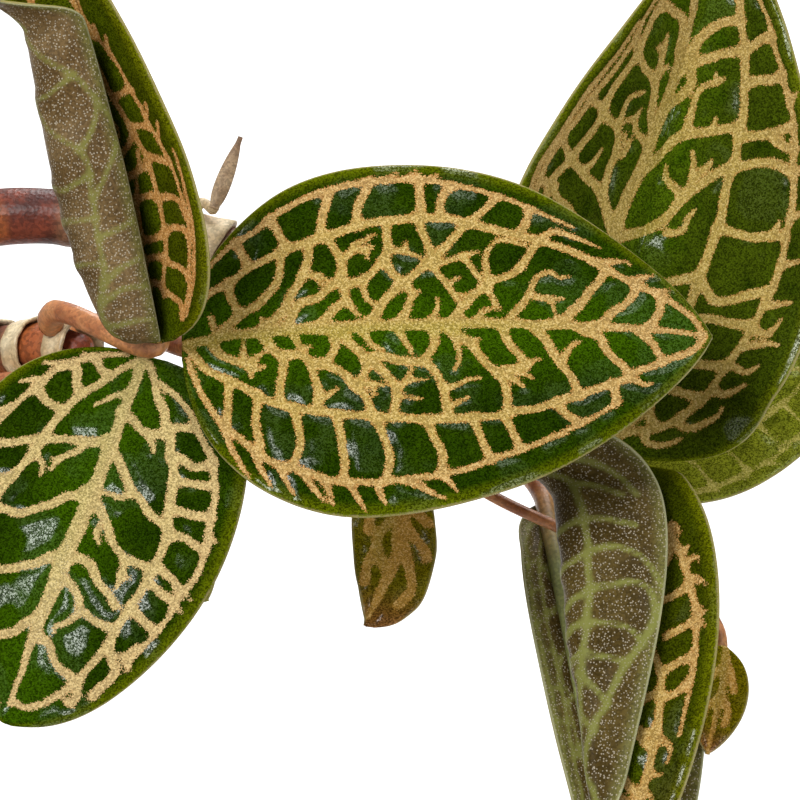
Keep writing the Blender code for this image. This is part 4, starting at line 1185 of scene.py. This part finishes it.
def mix_piece(look):
    """The bed of fine mix under the chips."""
    foot = POT_FLOOR + FIT_GAP
    shoulder = MIX_TOP - 3
    edge = inner_radius(MIX_TOP) - FIT_GAP
    turns = round_turns(POT_SIDES)
    rings = []
    for radius, height in ((inner_radius(foot + 2) - 2.4, foot), (inner_radius(foot + 2) - 0.4, foot + 2),
                           (inner_radius(shoulder) - 0.4, shoulder)):
        rings.append([(radius * math.cos(t), radius * math.sin(t), height) for t in turns])
    for ring in range(MIX_RINGS):
        radius = edge * (MIX_RINGS - ring - 0.05) / MIX_RINGS
        places = [(radius * math.cos(t), radius * math.sin(t)) for t in turns]
        rings.append([(x, y, mix_height(x, y)) for x, y in places])
    vertices = np.vstack([[(0, 0, foot)], *rings, [(0, 0, MIX_TOP - 1)]])
    faces = ring_faces(len(rings), POT_SIDES)
    mesh_piece("mix_bed", vertices, faces, [look], "bark_mix", ["potting_mix"])


def ball(detail):
    """Points and faces of a unit ball of triangles."""
    shell = bmesh.new()
    bmesh.ops.create_icosphere(shell, subdivisions=detail, radius=1)
    points = np.array([v.co[:] for v in shell.verts])
    faces = [tuple(v.index for v in f.verts) for f in shell.faces]
    shell.free()
    return points, faces


def turned_by(chance, tilt):
    """A random rotation whose upward axis leans by at most about tilt radians."""
    a, b, c = chance.uniform(0, 2 * math.pi), chance.gauss(0, tilt / 2), chance.gauss(0, tilt / 2)
    about_z = np.array([[math.cos(a), -math.sin(a), 0], [math.sin(a), math.cos(a), 0], [0, 0, 1]])
    about_x = np.array([[1, 0, 0], [0, math.cos(b), -math.sin(b)], [0, math.sin(b), math.cos(b)]])
    about_y = np.array([[math.cos(c), 0, math.sin(c)], [0, 1, 0], [-math.sin(c), 0, math.cos(c)]])
    return about_x @ about_y @ about_z


def free_place(chance, shoots, room):
    """A place on the mix that keeps clear of the pot's wall and of the stems."""
    edge, clear = inner_radius(MIX_TOP) - room[0], room[1]
    feet = [shoot.path[np.argmin(np.abs(shoot.path[:, 2] - MIX_TOP))] for shoot in shoots]
    for _ in range(PLACE_TRIES):
        radius, turn = edge * math.sqrt(chance.random()), chance.uniform(0, 2 * math.pi)
        x, y = radius * math.cos(turn), radius * math.sin(turn)
        if all(math.hypot(x - foot[0], y - foot[1]) > clear for foot in feet):
            return x, y
    return 0.0, 0.0


def chips_piece(shoots, look):
    """Flat flakes of bark that lie over the bed."""
    chance = random.Random(5)
    points, corners = ball(2)
    parts, tones = [], []
    for k in range(BARK_CHIPS):
        size = chance.uniform(*CHIP_SIZES) * (1 if chance.random() < 0.8 else LARGE_CHIP)
        scale = np.array([size, size * chance.uniform(0.45, 0.8), size * chance.uniform(0.16, 0.34)])
        cut = np.sign(points) * np.abs(points) ** 0.6
        lumps = 1 + 0.3 * noise_at(points * 1.7, 1.0, k)
        x, y = free_place(chance, shoots, CHIP_ROOM)
        chip = (cut * lumps[:, None] * scale) @ turned_by(chance, 0.7).T
        level = mix_height(x, y) + scale[2] * 0.4 + chance.uniform(0, 1.1)
        parts.append((chip + np.array([x, y, level]), corners))
        tones += [chance.random()] * len(points)
    vertices, faces = joined(parts)
    mesh_piece("bark_chips", vertices, faces, [look], "bark_mix", values={"tone": tones})


def perlite_piece(shoots, look):
    """Small white grains among the bark."""
    chance = random.Random(8)
    points, corners = ball(2)
    parts = []
    for k in range(PERLITE_GRAINS):
        size = chance.uniform(*GRAIN_SIZES)
        lumps = 1 + 0.35 * noise_at(points * 1.4, 1.0, k)
        x, y = free_place(chance, shoots, GRAIN_ROOM)
        level = mix_height(x, y) + size * 0.6 + chance.uniform(0, 0.8)
        parts.append((points * lumps[:, None] * size + np.array([x, y, level]), corners))
    mesh_piece("perlite_grains", *joined(parts), [look], "bark_mix")


def moss_piece(shoots, look):
    """Strands of moss with tiny leaves, lying over the bark."""
    chance = random.Random(21)
    parts = []
    for _ in range(MOSS_STRANDS):
        x, y = free_place(chance, shoots, MOSS_ROOM)
        heading = chance.uniform(0, 2 * math.pi)
        points = []
        for _ in range(MOSS_STEPS):
            reach = math.hypot(x, y)
            if reach < inner_radius(MIX_TOP) - 2.2:
                points.append((x, y, mix_height(x, y) + 1.3 + chance.uniform(-0.4, 0.9)))
            heading += chance.uniform(-0.6, 0.6)
            x += MOSS_STEP * math.cos(heading)
            y += MOSS_STEP * math.sin(heading)
        if len(points) < 4:
            continue
        path = curve_through(points, 0.7)
        radii = MOSS_RADIUS + 0.08 * np.sin(np.arange(len(path)) * 2.1)
        parts.append(tube_mesh(path, radii, 6))
        for place in path[1:-1]:
            for turn in (0.0, 2.1, 4.2):
                turn += chance.uniform(-0.7, 0.7)
                out = np.array([math.cos(turn), math.sin(turn), chance.uniform(-0.1, 0.7)])
                side = np.array([-math.sin(turn), math.cos(turn), 0.0]) * 0.22
                tip = place + out * chance.uniform(0.7, 1.2)
                leaflet = np.array([place - side, place + side, tip, place + out * 0.3 + (0, 0, 0.12)])
                parts.append((leaflet, [(0, 1, 3), (1, 2, 3), (2, 0, 3), (0, 2, 1)]))
    mesh_piece("moss_strands", *joined(parts), [look], "bark_mix")


# Shader groups

class Graph:
    """A node tree with short calls that place and link nodes."""

    def __init__(self, tree):
        self.tree = tree

    def node(self, kind, **settings):
        made = self.tree.nodes.new(kind)
        for key, value in settings.items():
            setattr(made, key, value)
        return made

    def link(self, source, target):
        self.tree.links.new(source, target)

    def put(self, value, socket):
        """Links value to socket if it is an output, and sets it otherwise."""
        if isinstance(value, bpy.types.NodeSocket):
            self.link(value, socket)
        else:
            socket.default_value = value

    def math(self, operation, *values):
        made = self.node("ShaderNodeMath", operation=operation)
        for value, socket in zip(values, made.inputs):
            self.put(value, socket)
        return made.outputs[0]

    def times(self, a, b):
        return self.math("MULTIPLY", a, b)

    def smooth(self, value, low, high, start=0.0, end=1.0):
        """Maps value from the range low to high smoothly onto the range start to end."""
        made = self.node("ShaderNodeMapRange", interpolation_type="SMOOTHSTEP")
        for number, name in ((value, "Value"), (low, "From Min"), (high, "From Max"),
                             (start, "To Min"), (end, "To Max")):
            self.put(number, made.inputs[name])
        return made.outputs["Result"]

    def mix(self, share, a, b):
        made = self.node("ShaderNodeMix", data_type="RGBA")
        self.put(share, made.inputs["Factor"])
        self.put(a if isinstance(a, bpy.types.NodeSocket) else (*a, 1), made.inputs["A"])
        self.put(b if isinstance(b, bpy.types.NodeSocket) else (*b, 1), made.inputs["B"])
        return made.outputs["Result"]

    def noise(self, scale, detail=2.0, roughness=0.5, distortion=0.0, vector=None):
        made = self.node("ShaderNodeTexNoise")
        for number, name in ((scale, "Scale"), (detail, "Detail"), (roughness, "Roughness"),
                             (distortion, "Distortion")):
            self.put(number, made.inputs[name])
        self.link(vector or self.place(), made.inputs["Vector"])
        return made.outputs["Fac"]

    def cells(self, scale, output="Distance", randomness=1.0):
        """The distance from the middle of each of many small cells, or another output."""
        made = self.node("ShaderNodeTexVoronoi", feature="F1")
        self.put(scale, made.inputs["Scale"])
        self.put(randomness, made.inputs["Randomness"])
        self.link(self.place(), made.inputs["Vector"])
        return made.outputs[output]

    def specks(self, scale):
        """A random number for each of many small cells."""
        split = self.node("ShaderNodeSeparateColor")
        self.link(self.cells(scale, "Color"), split.inputs["Color"])
        return split.outputs["Red"]

    def place(self):
        return self.node("ShaderNodeTexCoord").outputs["Object"]

    def value(self, name):
        """A number that the mesh carries at each vertex."""
        return self.node("ShaderNodeAttribute", attribute_name=name).outputs["Fac"]

    def bump(self, height, strength, distance):
        made = self.node("ShaderNodeBump")
        self.put(height, made.inputs["Height"])
        self.put(strength, made.inputs["Strength"])
        self.put(distance, made.inputs["Distance"])
        return made.outputs["Normal"]


def new_group(name, inputs, outputs):
    """An empty shader group with named sockets; each is (name, kind, value)."""
    tree = bpy.data.node_groups.new(name, "ShaderNodeTree")
    for label, kind, value in inputs:
        socket = tree.interface.new_socket(label, in_out="INPUT", socket_type=kind)
        socket.default_value = value
    for label, kind in outputs:
        tree.interface.new_socket(label, in_out="OUTPUT", socket_type=kind)
    return tree, Graph(tree), tree.nodes.new("NodeGroupInput"), tree.nodes.new("NodeGroupOutput")


def grain_group():
    """Fine grain that varies a colour's brightness, as on living tissue or clay."""
    tree, graph, given, out = new_group(
        "grain", [("Color", "NodeSocketColor", (1, 1, 1, 1)), ("Scale", "NodeSocketFloat", 5000.0),
                  ("Dark", "NodeSocketFloat", 0.7), ("Light", "NodeSocketFloat", 1.35)],
        [("Color", "NodeSocketColor"), ("Grain", "NodeSocketFloat")])
    grain = graph.specks(given.outputs["Scale"])
    level = graph.smooth(grain, 0.0, 1.0, given.outputs["Dark"], given.outputs["Light"])
    shaded = graph.node("ShaderNodeVectorMath", operation="SCALE")
    graph.link(given.outputs["Color"], shaded.inputs[0])
    graph.link(level, shaded.inputs["Scale"])
    graph.link(shaded.outputs[0], out.inputs["Color"])
    graph.link(grain, out.inputs["Grain"])
    return tree


def vein_group():
    """A mask that is 1 inside the veins, with granular edges."""
    tree, graph, given, out = new_group(
        "vein mask", [("Rag", "NodeSocketFloat", 0.3), ("Blur", "NodeSocketFloat", 0.06),
                      ("Shift", "NodeSocketFloat", 0.0)],
        [("Mask", "NodeSocketFloat"), ("Depth", "NodeSocketFloat")])
    fine = graph.math("SUBTRACT", graph.noise(5200.0, 2.0, 0.6), 0.5)
    broad = graph.math("SUBTRACT", graph.noise(1500.0, 1.0), 0.5)
    rag = graph.math("MULTIPLY_ADD", fine, given.outputs["Rag"], graph.times(broad, 0.22))
    depth = graph.math("ADD", graph.value("vein"), rag)
    depth = graph.math("ADD", depth, given.outputs["Shift"])
    low = graph.times(given.outputs["Blur"], -1.0)
    mask = graph.smooth(depth, low, given.outputs["Blur"], 1.0, 0.0)
    graph.link(mask, out.inputs["Mask"])
    graph.link(depth, out.inputs["Depth"])
    return tree


def use_group(graph, tree, **values):
    """Places a shader group with its own values."""
    made = graph.node("ShaderNodeGroup", node_tree=tree)
    for name, value in values.items():
        graph.put((*value, 1) if isinstance(value, tuple) else value, made.inputs[name])
    return made


# Materials

def new_material(name, roughness=0.5, specular=0.5):
    made = bpy.data.materials.new(name)
    made.use_nodes = True
    graph = Graph(made.node_tree)
    shader = made.node_tree.nodes["Principled BSDF"]
    shader.inputs["Roughness"].default_value = roughness
    shader.inputs["Specular IOR Level"].default_value = specular
    return made, graph, shader


def finished(made, graph, shader, groups, colour, grain, height, relief):
    """Gives a material its grained colour and its relief; grain is its scale, dark and light."""
    scale, dark, light = grain
    grained = use_group(graph, groups["grain"], Color=colour, Scale=scale, Dark=dark, Light=light)
    graph.link(grained.outputs["Color"], shader.inputs["Base Color"])
    graph.link(graph.bump(height, *relief), shader.inputs["Normal"])
    return made


def leaf_face_material(groups):
    """The dark upper face with its gold net, painted glitter and a painted highlight at the margin."""
    made, graph, shader = new_material("leaf upper face", specular=0.0)
    shader.inputs["Coat Roughness"].default_value = 0.14
    mask = use_group(graph, groups["veins"], Rag=1.0, Blur=0.04, Shift=0.015)
    vein, depth = mask.outputs["Mask"], mask.outputs["Depth"]
    rib, margin, along = graph.value("rib"), graph.value("margin"), graph.value("along")
    browned, paled = graph.value("browned"), graph.value("paled")
    patch = graph.noise(260.0, 2.0)
    deep = graph.mix(graph.smooth(patch, 0.35, 0.65), (0.0090, 0.022, 0.0003), (0.0145, 0.031, 0.0004))
    lively = graph.mix(graph.smooth(rib, 9.0, 1.0), deep, (0.021, 0.050, 0.0005))
    olive = graph.mix(graph.smooth(margin, 2.0, 0.3), lively, (0.060, 0.074, 0.001))
    olive = graph.mix(browned, olive, (0.125, 0.095, 0.002))
    brown_tip = graph.times(browned, graph.smooth(along, 0.7, 1.0))
    olive = graph.mix(brown_tip, olive, (0.20, 0.07, 0.02))
    light_patch = graph.smooth(patch, 0.12, 0.5)
    olive = graph.mix(graph.times(paled, light_patch), olive, (0.17, 0.19, 0.012))
    green = use_group(graph, groups["grain"], Color=olive, Scale=7000.0, Dark=0.45, Light=1.8)
    # Painted sparkle: small yellow-green specks on the green stand for light glittering on its cells.
    painted_sparkle_specks = graph.smooth(graph.cells(3600.0), 0.16, 0.05)
    green_with_painted_sparkle = graph.mix(graph.times(painted_sparkle_specks, 0.3), green.outputs["Color"], (0.09, 0.15, 0.015))
    near_edge = graph.smooth(margin, 9.0, 1.5)
    tipward = graph.smooth(along, 0.55, 0.95)
    copper = graph.math("MAXIMUM", near_edge, tipward)
    core = graph.mix(copper, (0.375, 0.255, 0.066), (0.41, 0.25, 0.085))
    side = graph.smooth(depth, -0.20, 0.02)
    coppery = graph.mix(graph.times(side, 0.85), core, (0.42, 0.165, 0.038))
    coppery = graph.mix(graph.times(graph.value("blush"), 0.7), coppery, (0.46, 0.18, 0.055))
    coppery = graph.mix(browned, coppery, (0.50, 0.26, 0.04))
    coppery = graph.mix(paled, coppery, (0.46, 0.42, 0.08))
    central = graph.smooth(rib, graph.math("MULTIPLY_ADD", paled, 12.0, 1.5), 0.3)
    central = graph.times(central, graph.smooth(along, 0.85, 0.45))
    golden = graph.mix(graph.times(central, 0.55), coppery, (0.28, 0.23, 0.03))
    golden = graph.mix(graph.value("creamy"), golden, (0.54, 0.46, 0.24))
    gold = use_group(graph, groups["grain"], Color=golden, Scale=6600.0, Dark=0.62, Light=1.3)
    # Painted glitter: pale cream specks on the gold net stand for light sparkling on its grains.
    painted_glitter = graph.smooth(gold.outputs["Grain"], 0.6, 1.0, 0.0, 0.4)
    gold_with_painted_glitter = graph.mix(painted_glitter, gold.outputs["Color"], (0.68, 0.55, 0.28))
    face = graph.mix(vein, green_with_painted_sparkle, gold_with_painted_glitter)
    # Painted highlight: a thin ragged pale line along the margin, for light caught by the thin edge.
    ragged = graph.math("MULTIPLY_ADD", green.outputs["Grain"], 0.22, margin)
    rim = graph.smooth(ragged, 0.42, 0.16)
    with_painted_edge_highlight = graph.mix(graph.times(rim, 0.75), face, (0.33, 0.28, 0.11))
    graph.link(with_painted_edge_highlight, shader.inputs["Base Color"])
    graph.link(graph.smooth(vein, 0.0, 1.0, 0.30, 0.56), shader.inputs["Roughness"])
    wet = graph.smooth(graph.math("MULTIPLY_ADD", tipward, 0.08, graph.noise(130.0, 2.0)), 0.52, 0.58)
    glint = graph.times(wet, graph.smooth(vein, 0.6, 0.0, 0.1, 1.0))
    rough = graph.smooth(green.outputs["Grain"], 0.35, 1.0, 0.06, 0.9)
    graph.link(graph.times(glint, rough), shader.inputs["Coat Weight"])
    pores = graph.times(graph.cells(5200.0), 1.2)
    height = graph.math("ADD", pores, graph.times(graph.noise(7500.0, 2.0), 0.8))
    graph.link(graph.bump(height, 0.42, 0.00006), shader.inputs["Normal"])
    return made


def leaf_under_material(groups):
    """The purple-grey underside with light green veins, pale dots and a painted highlight at the margin."""
    made, graph, shader = new_material("leaf underside", specular=0.05)
    vein = use_group(graph, groups["veins"], Rag=0.45, Blur=0.26, Shift=0.2).outputs["Mask"]
    margin, along = graph.value("margin"), graph.value("along")
    patch = graph.noise(180.0, 3.0)
    tones = graph.smooth(patch, 0.35, 0.65)
    sombre = graph.mix(tones, (0.050, 0.032, 0.007), (0.082, 0.056, 0.014))
    rosy = graph.mix(tones, (0.090, 0.054, 0.019), (0.150, 0.098, 0.042))
    skin = graph.mix(graph.value("blush"), sombre, rosy)
    skin = graph.mix(graph.smooth(margin, 2.2, 0.3), skin, (0.12, 0.11, 0.03))
    skin = use_group(graph, groups["grain"], Color=skin, Scale=4200.0, Dark=0.75, Light=1.25)
    faint = graph.smooth(graph.value("blush"), 0.0, 1.0, 0.8, 0.62)
    veined = graph.mix(graph.times(vein, faint), skin.outputs["Color"], (0.20, 0.21, 0.05))
    dots = graph.smooth(graph.cells(3100.0, randomness=0.9), 0.36, 0.22)
    dots = graph.times(dots, graph.smooth(vein, 1.6, 0.3))
    dotted = graph.mix(graph.times(dots, 0.65), veined, (0.46, 0.40, 0.30))
    # Painted highlight: a pale line along the margin, for light caught by the edge.
    rim = graph.smooth(margin, 0.34, 0.08)
    with_painted_edge_highlight = graph.mix(graph.times(rim, 0.7), dotted, (0.42, 0.42, 0.24))
    graph.link(with_painted_edge_highlight, shader.inputs["Base Color"])
    graph.link(graph.smooth(dots, 0.0, 1.0, 0.42, 0.22), shader.inputs["Roughness"])
    graph.link(graph.bump(dots, 0.5, 0.00012), shader.inputs["Normal"])
    return made


def stalk_material(groups, dry=False):
    """Pinkish brown stalks that turn green under the blade, and paler papery sheaths."""
    name, roughness = ("dry sheath", 0.6) if dry else ("leaf stalk", 0.38)
    made, graph, shader = new_material(name, roughness)
    green, papery = graph.value("green"), graph.value("papery")
    patch = graph.noise(320.0, 3.0)
    flesh = graph.mix(graph.smooth(patch, 0.35, 0.65), (0.30, 0.095, 0.032), (0.47, 0.20, 0.075))
    leafy = graph.mix(green, flesh, (0.21, 0.23, 0.075))
    paper = graph.mix(graph.smooth(patch, 0.3, 0.7), (0.46, 0.33, 0.17), (0.64, 0.53, 0.34))
    covered = graph.mix(papery, paper if dry else leafy, paper)
    height = graph.math("ADD", graph.noise(900.0, 3.0), graph.cells(2600.0))
    return finished(made, graph, shader, groups, covered, (3000.0, 0.8, 1.2), height, (0.25, 0.00012))


def dry_blade_material(groups):
    """Straw brown in patches and darker towards the tip, with fine grain."""
    made, graph, shader = new_material("dry bract", 0.6)
    along = graph.value("along")
    patch = graph.noise(900.0, 3.0)
    straw = graph.mix(graph.smooth(patch, 0.3, 0.7), (0.30, 0.19, 0.10), (0.44, 0.31, 0.18))
    tipped = graph.mix(graph.smooth(along, 0.55, 1.0), straw, (0.20, 0.11, 0.055))
    return finished(made, graph, shader, groups, tipped, (4500.0, 0.75, 1.25), patch, (0.3, 0.0002))


def stem_material(groups):
    """Fleshy reddish brown stem, greener towards its foot, with paler rings at the joints."""
    made, graph, shader = new_material("stem flesh", 0.42, 0.3)
    joint, height = graph.value("joint"), graph.value("height")
    patch = graph.noise(150.0, 4.0, 0.6)
    red = graph.mix(graph.smooth(patch, 0.38, 0.62), (0.060, 0.013, 0.008), (0.160, 0.034, 0.016))
    warm = graph.smooth(graph.noise(70.0, 2.0), 0.50, 0.64)
    red = graph.mix(graph.times(warm, 0.75), red, (0.34, 0.095, 0.022))
    body = graph.mix(graph.smooth(height, 0.5, 0.05), red, (0.13, 0.105, 0.035))
    ringed = graph.mix(graph.times(joint, 0.5), body, (0.30, 0.16, 0.08))
    bumps = graph.math("ADD", graph.noise(700.0, 3.0), graph.cells(2200.0))
    return finished(made, graph, shader, groups, ringed, (2600.0, 0.72, 1.3), bumps, (0.3, 0.00018))


def clay_material(groups):
    """Unglazed terracotta with turning lines, pale bloom and small pits darkened with painted shade."""
    made, graph, shader = new_material("terracotta", 0.86, 0.3)
    patch = graph.noise(45.0, 4.0, 0.6)
    fired = graph.mix(graph.smooth(patch, 0.3, 0.7), (0.46, 0.165, 0.078), (0.58, 0.235, 0.115))
    bloom = graph.smooth(graph.noise(90.0, 6.0, 0.7), 0.56, 0.74)
    bloomed = graph.mix(graph.times(bloom, 0.45), fired, (0.68, 0.52, 0.42))
    colour = use_group(graph, groups["grain"], Color=bloomed, Scale=1500.0, Dark=0.82, Light=1.15)
    # Painted shade: the small pits, also sunk in the relief below, are darkened as if shade lies in them.
    pits = graph.smooth(graph.cells(700.0), 0.16, 0.05)
    pits_with_painted_shade = graph.mix(graph.times(pits, 0.35), colour.outputs["Color"], (0.24, 0.08, 0.04))
    graph.link(pits_with_painted_shade, shader.inputs["Base Color"])
    stretch = graph.node("ShaderNodeMapping")
    stretch.inputs["Scale"].default_value = (0.03, 0.03, 1.0)
    graph.link(graph.place(), stretch.inputs["Vector"])
    lines = graph.noise(900.0, 3.0, 0.6, vector=stretch.outputs["Vector"])
    height = graph.math("SUBTRACT", graph.math("ADD", lines, colour.outputs["Grain"]), pits)
    graph.link(graph.bump(height, 0.5, 0.0003), shader.inputs["Normal"])
    return made


def bark_material(groups):
    """Brown flakes of several tones, with grain."""
    made, graph, shader = new_material("bark", 0.8, 0.3)
    tone = graph.value("tone")
    grain = graph.noise(1100.0, 5.0, 0.65, 0.6)
    dark = graph.mix(tone, (0.055, 0.024, 0.011), (0.15, 0.066, 0.03))
    light = graph.mix(tone, (0.13, 0.062, 0.032), (0.30, 0.165, 0.085))
    body = graph.mix(graph.smooth(grain, 0.35, 0.68), dark, light)
    return finished(made, graph, shader, groups, body, (2600.0, 0.7, 1.3), grain, (0.8, 0.0005))


# Looks with two tones in patches: the dark crumbs between the chips, pale olive moss that is brown
# in places, and white porous grains.
MOTTLED = {
    "fine mix": dict(roughness=0.9, specular=0.2, patches=(900.0, 6.0, 0.7), span=(0.35, 0.7),
                     tones=((0.020, 0.010, 0.005), (0.085, 0.045, 0.024)),
                     grain=(2200.0, 0.6, 1.5), relief=(1.0, 0.0009)),
    "moss": dict(roughness=0.75, specular=0.3, patches=(220.0, 3.0), span=(0.4, 0.65),
                 tones=((0.16, 0.19, 0.045), (0.30, 0.22, 0.085)),
                 grain=(3000.0, 0.7, 1.3), relief=(0.3, 0.0002)),
    "perlite": dict(roughness=0.85, specular=0.3, patches=(2400.0, 4.0, 0.7), span=(0.35, 0.6),
                    tones=((0.50, 0.47, 0.42), (0.80, 0.78, 0.74)),
                    grain=(4000.0, 0.9, 1.08), relief=(0.7, 0.0003)),
}


def mottled_material(groups, name):
    """One of the looks in MOTTLED."""
    look = MOTTLED[name]
    made, graph, shader = new_material(name, look["roughness"], look["specular"])
    patch = graph.noise(*look["patches"])
    body = graph.mix(graph.smooth(patch, *look["span"]), *look["tones"])
    return finished(made, graph, shader, groups, body, look["grain"], patch, look["relief"])


# Stage

def floor_piece():
    half = FLOOR_SIZE / 2
    corners = [(-half, -half, 0), (half, -half, 0), (half, half, 0), (-half, half, 0)]
    made = new_object("floor", new_mesh("floor", corners, [(0, 1, 2, 3)]))
    look, _, shader = new_material("floor", 0.7, 0.2)
    shader.inputs["Base Color"].default_value = (0.93, 0.93, 0.93, 1)
    made.data.materials.append(look)


def area_light(name, place, aim, size, power):
    """A round soft light at place that shines towards aim."""
    data = bpy.data.lights.new(name, "AREA")
    data.shape = "DISK"
    data.size = size * MM
    data.energy = power
    made = new_object(name, data)
    made.location = Vector(place) * MM
    made.rotation_euler = (Vector(aim) - Vector(place)).to_track_quat("-Z", "Y").to_euler()


def light_stage():
    world = bpy.data.worlds.new("studio")
    world.use_nodes = True
    world.node_tree.nodes["Background"].inputs["Color"].default_value = (1, 1, 1, 1)
    world.node_tree.nodes["Background"].inputs["Strength"].default_value = 0.32
    bpy.context.scene.world = world
    area_light("key", (-250, -330, 720), LIGHTS_AIM, 360, 4.4)
    area_light("back", (120, 620, 560), LIGHTS_AIM, 500, 4.8)
    area_light("fill", (620, -420, 420), LIGHTS_AIM, 500, 2)
    area_light("sheet", (150, 200, 760), SHEET_AIM, 420, 1.2)
    bpy.context.scene.view_settings.view_transform = "Standard"
    bpy.context.scene.view_settings.look = "None"


def camera():
    data = bpy.data.cameras.new("camera")
    data.sensor_width = SENSOR_WIDTH
    data.lens = SENSOR_WIDTH * VIEW_DISTANCE / VIEW_WIDTH
    data.clip_start = 0.01
    data.clip_end = 20
    made = new_object("camera", data)
    tilt = math.radians(VIEW_ELEVATION)
    back = Vector((0, -math.cos(tilt), math.sin(tilt)))
    made.location = (Vector(VIEW_TARGET) + back * VIEW_DISTANCE) * MM
    made.rotation_euler = (-back).to_track_quat("-Z", "Y").to_euler()
    bpy.context.scene.camera = made


def build():
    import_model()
    groups = {"grain": grain_group(), "veins": vein_group()}
    face, under = leaf_face_material(groups), leaf_under_material(groups)
    straw = dry_blade_material(groups)
    stalk, dry_stalk = stalk_material(groups), stalk_material(groups, dry=True)
    flesh = stem_material(groups)
    shoots = {number: Shoot(points) for number, points in SHOOTS.items()}
    for number, shoot in shoots.items():
        stem_piece(number, shoot, [leaf for leaf in LEAVES if leaf["shoot"] == number], flesh)
    for leaf in LEAVES:
        dry = leaf.get("dry")
        blade_piece(leaf, [straw, straw] if dry else [face, under])
        stalk_piece(leaf, shoots[leaf["shoot"]], dry_stalk if dry else stalk)
    pot_piece(clay_material(groups))
    mix_piece(mottled_material(groups, "fine mix"))
    chips_piece(shoots.values(), bark_material(groups))
    perlite_piece(shoots.values(), mottled_material(groups, "perlite"))
    moss_piece(shoots.values(), mottled_material(groups, "moss"))
    floor_piece()
    light_stage()
    camera()


build()
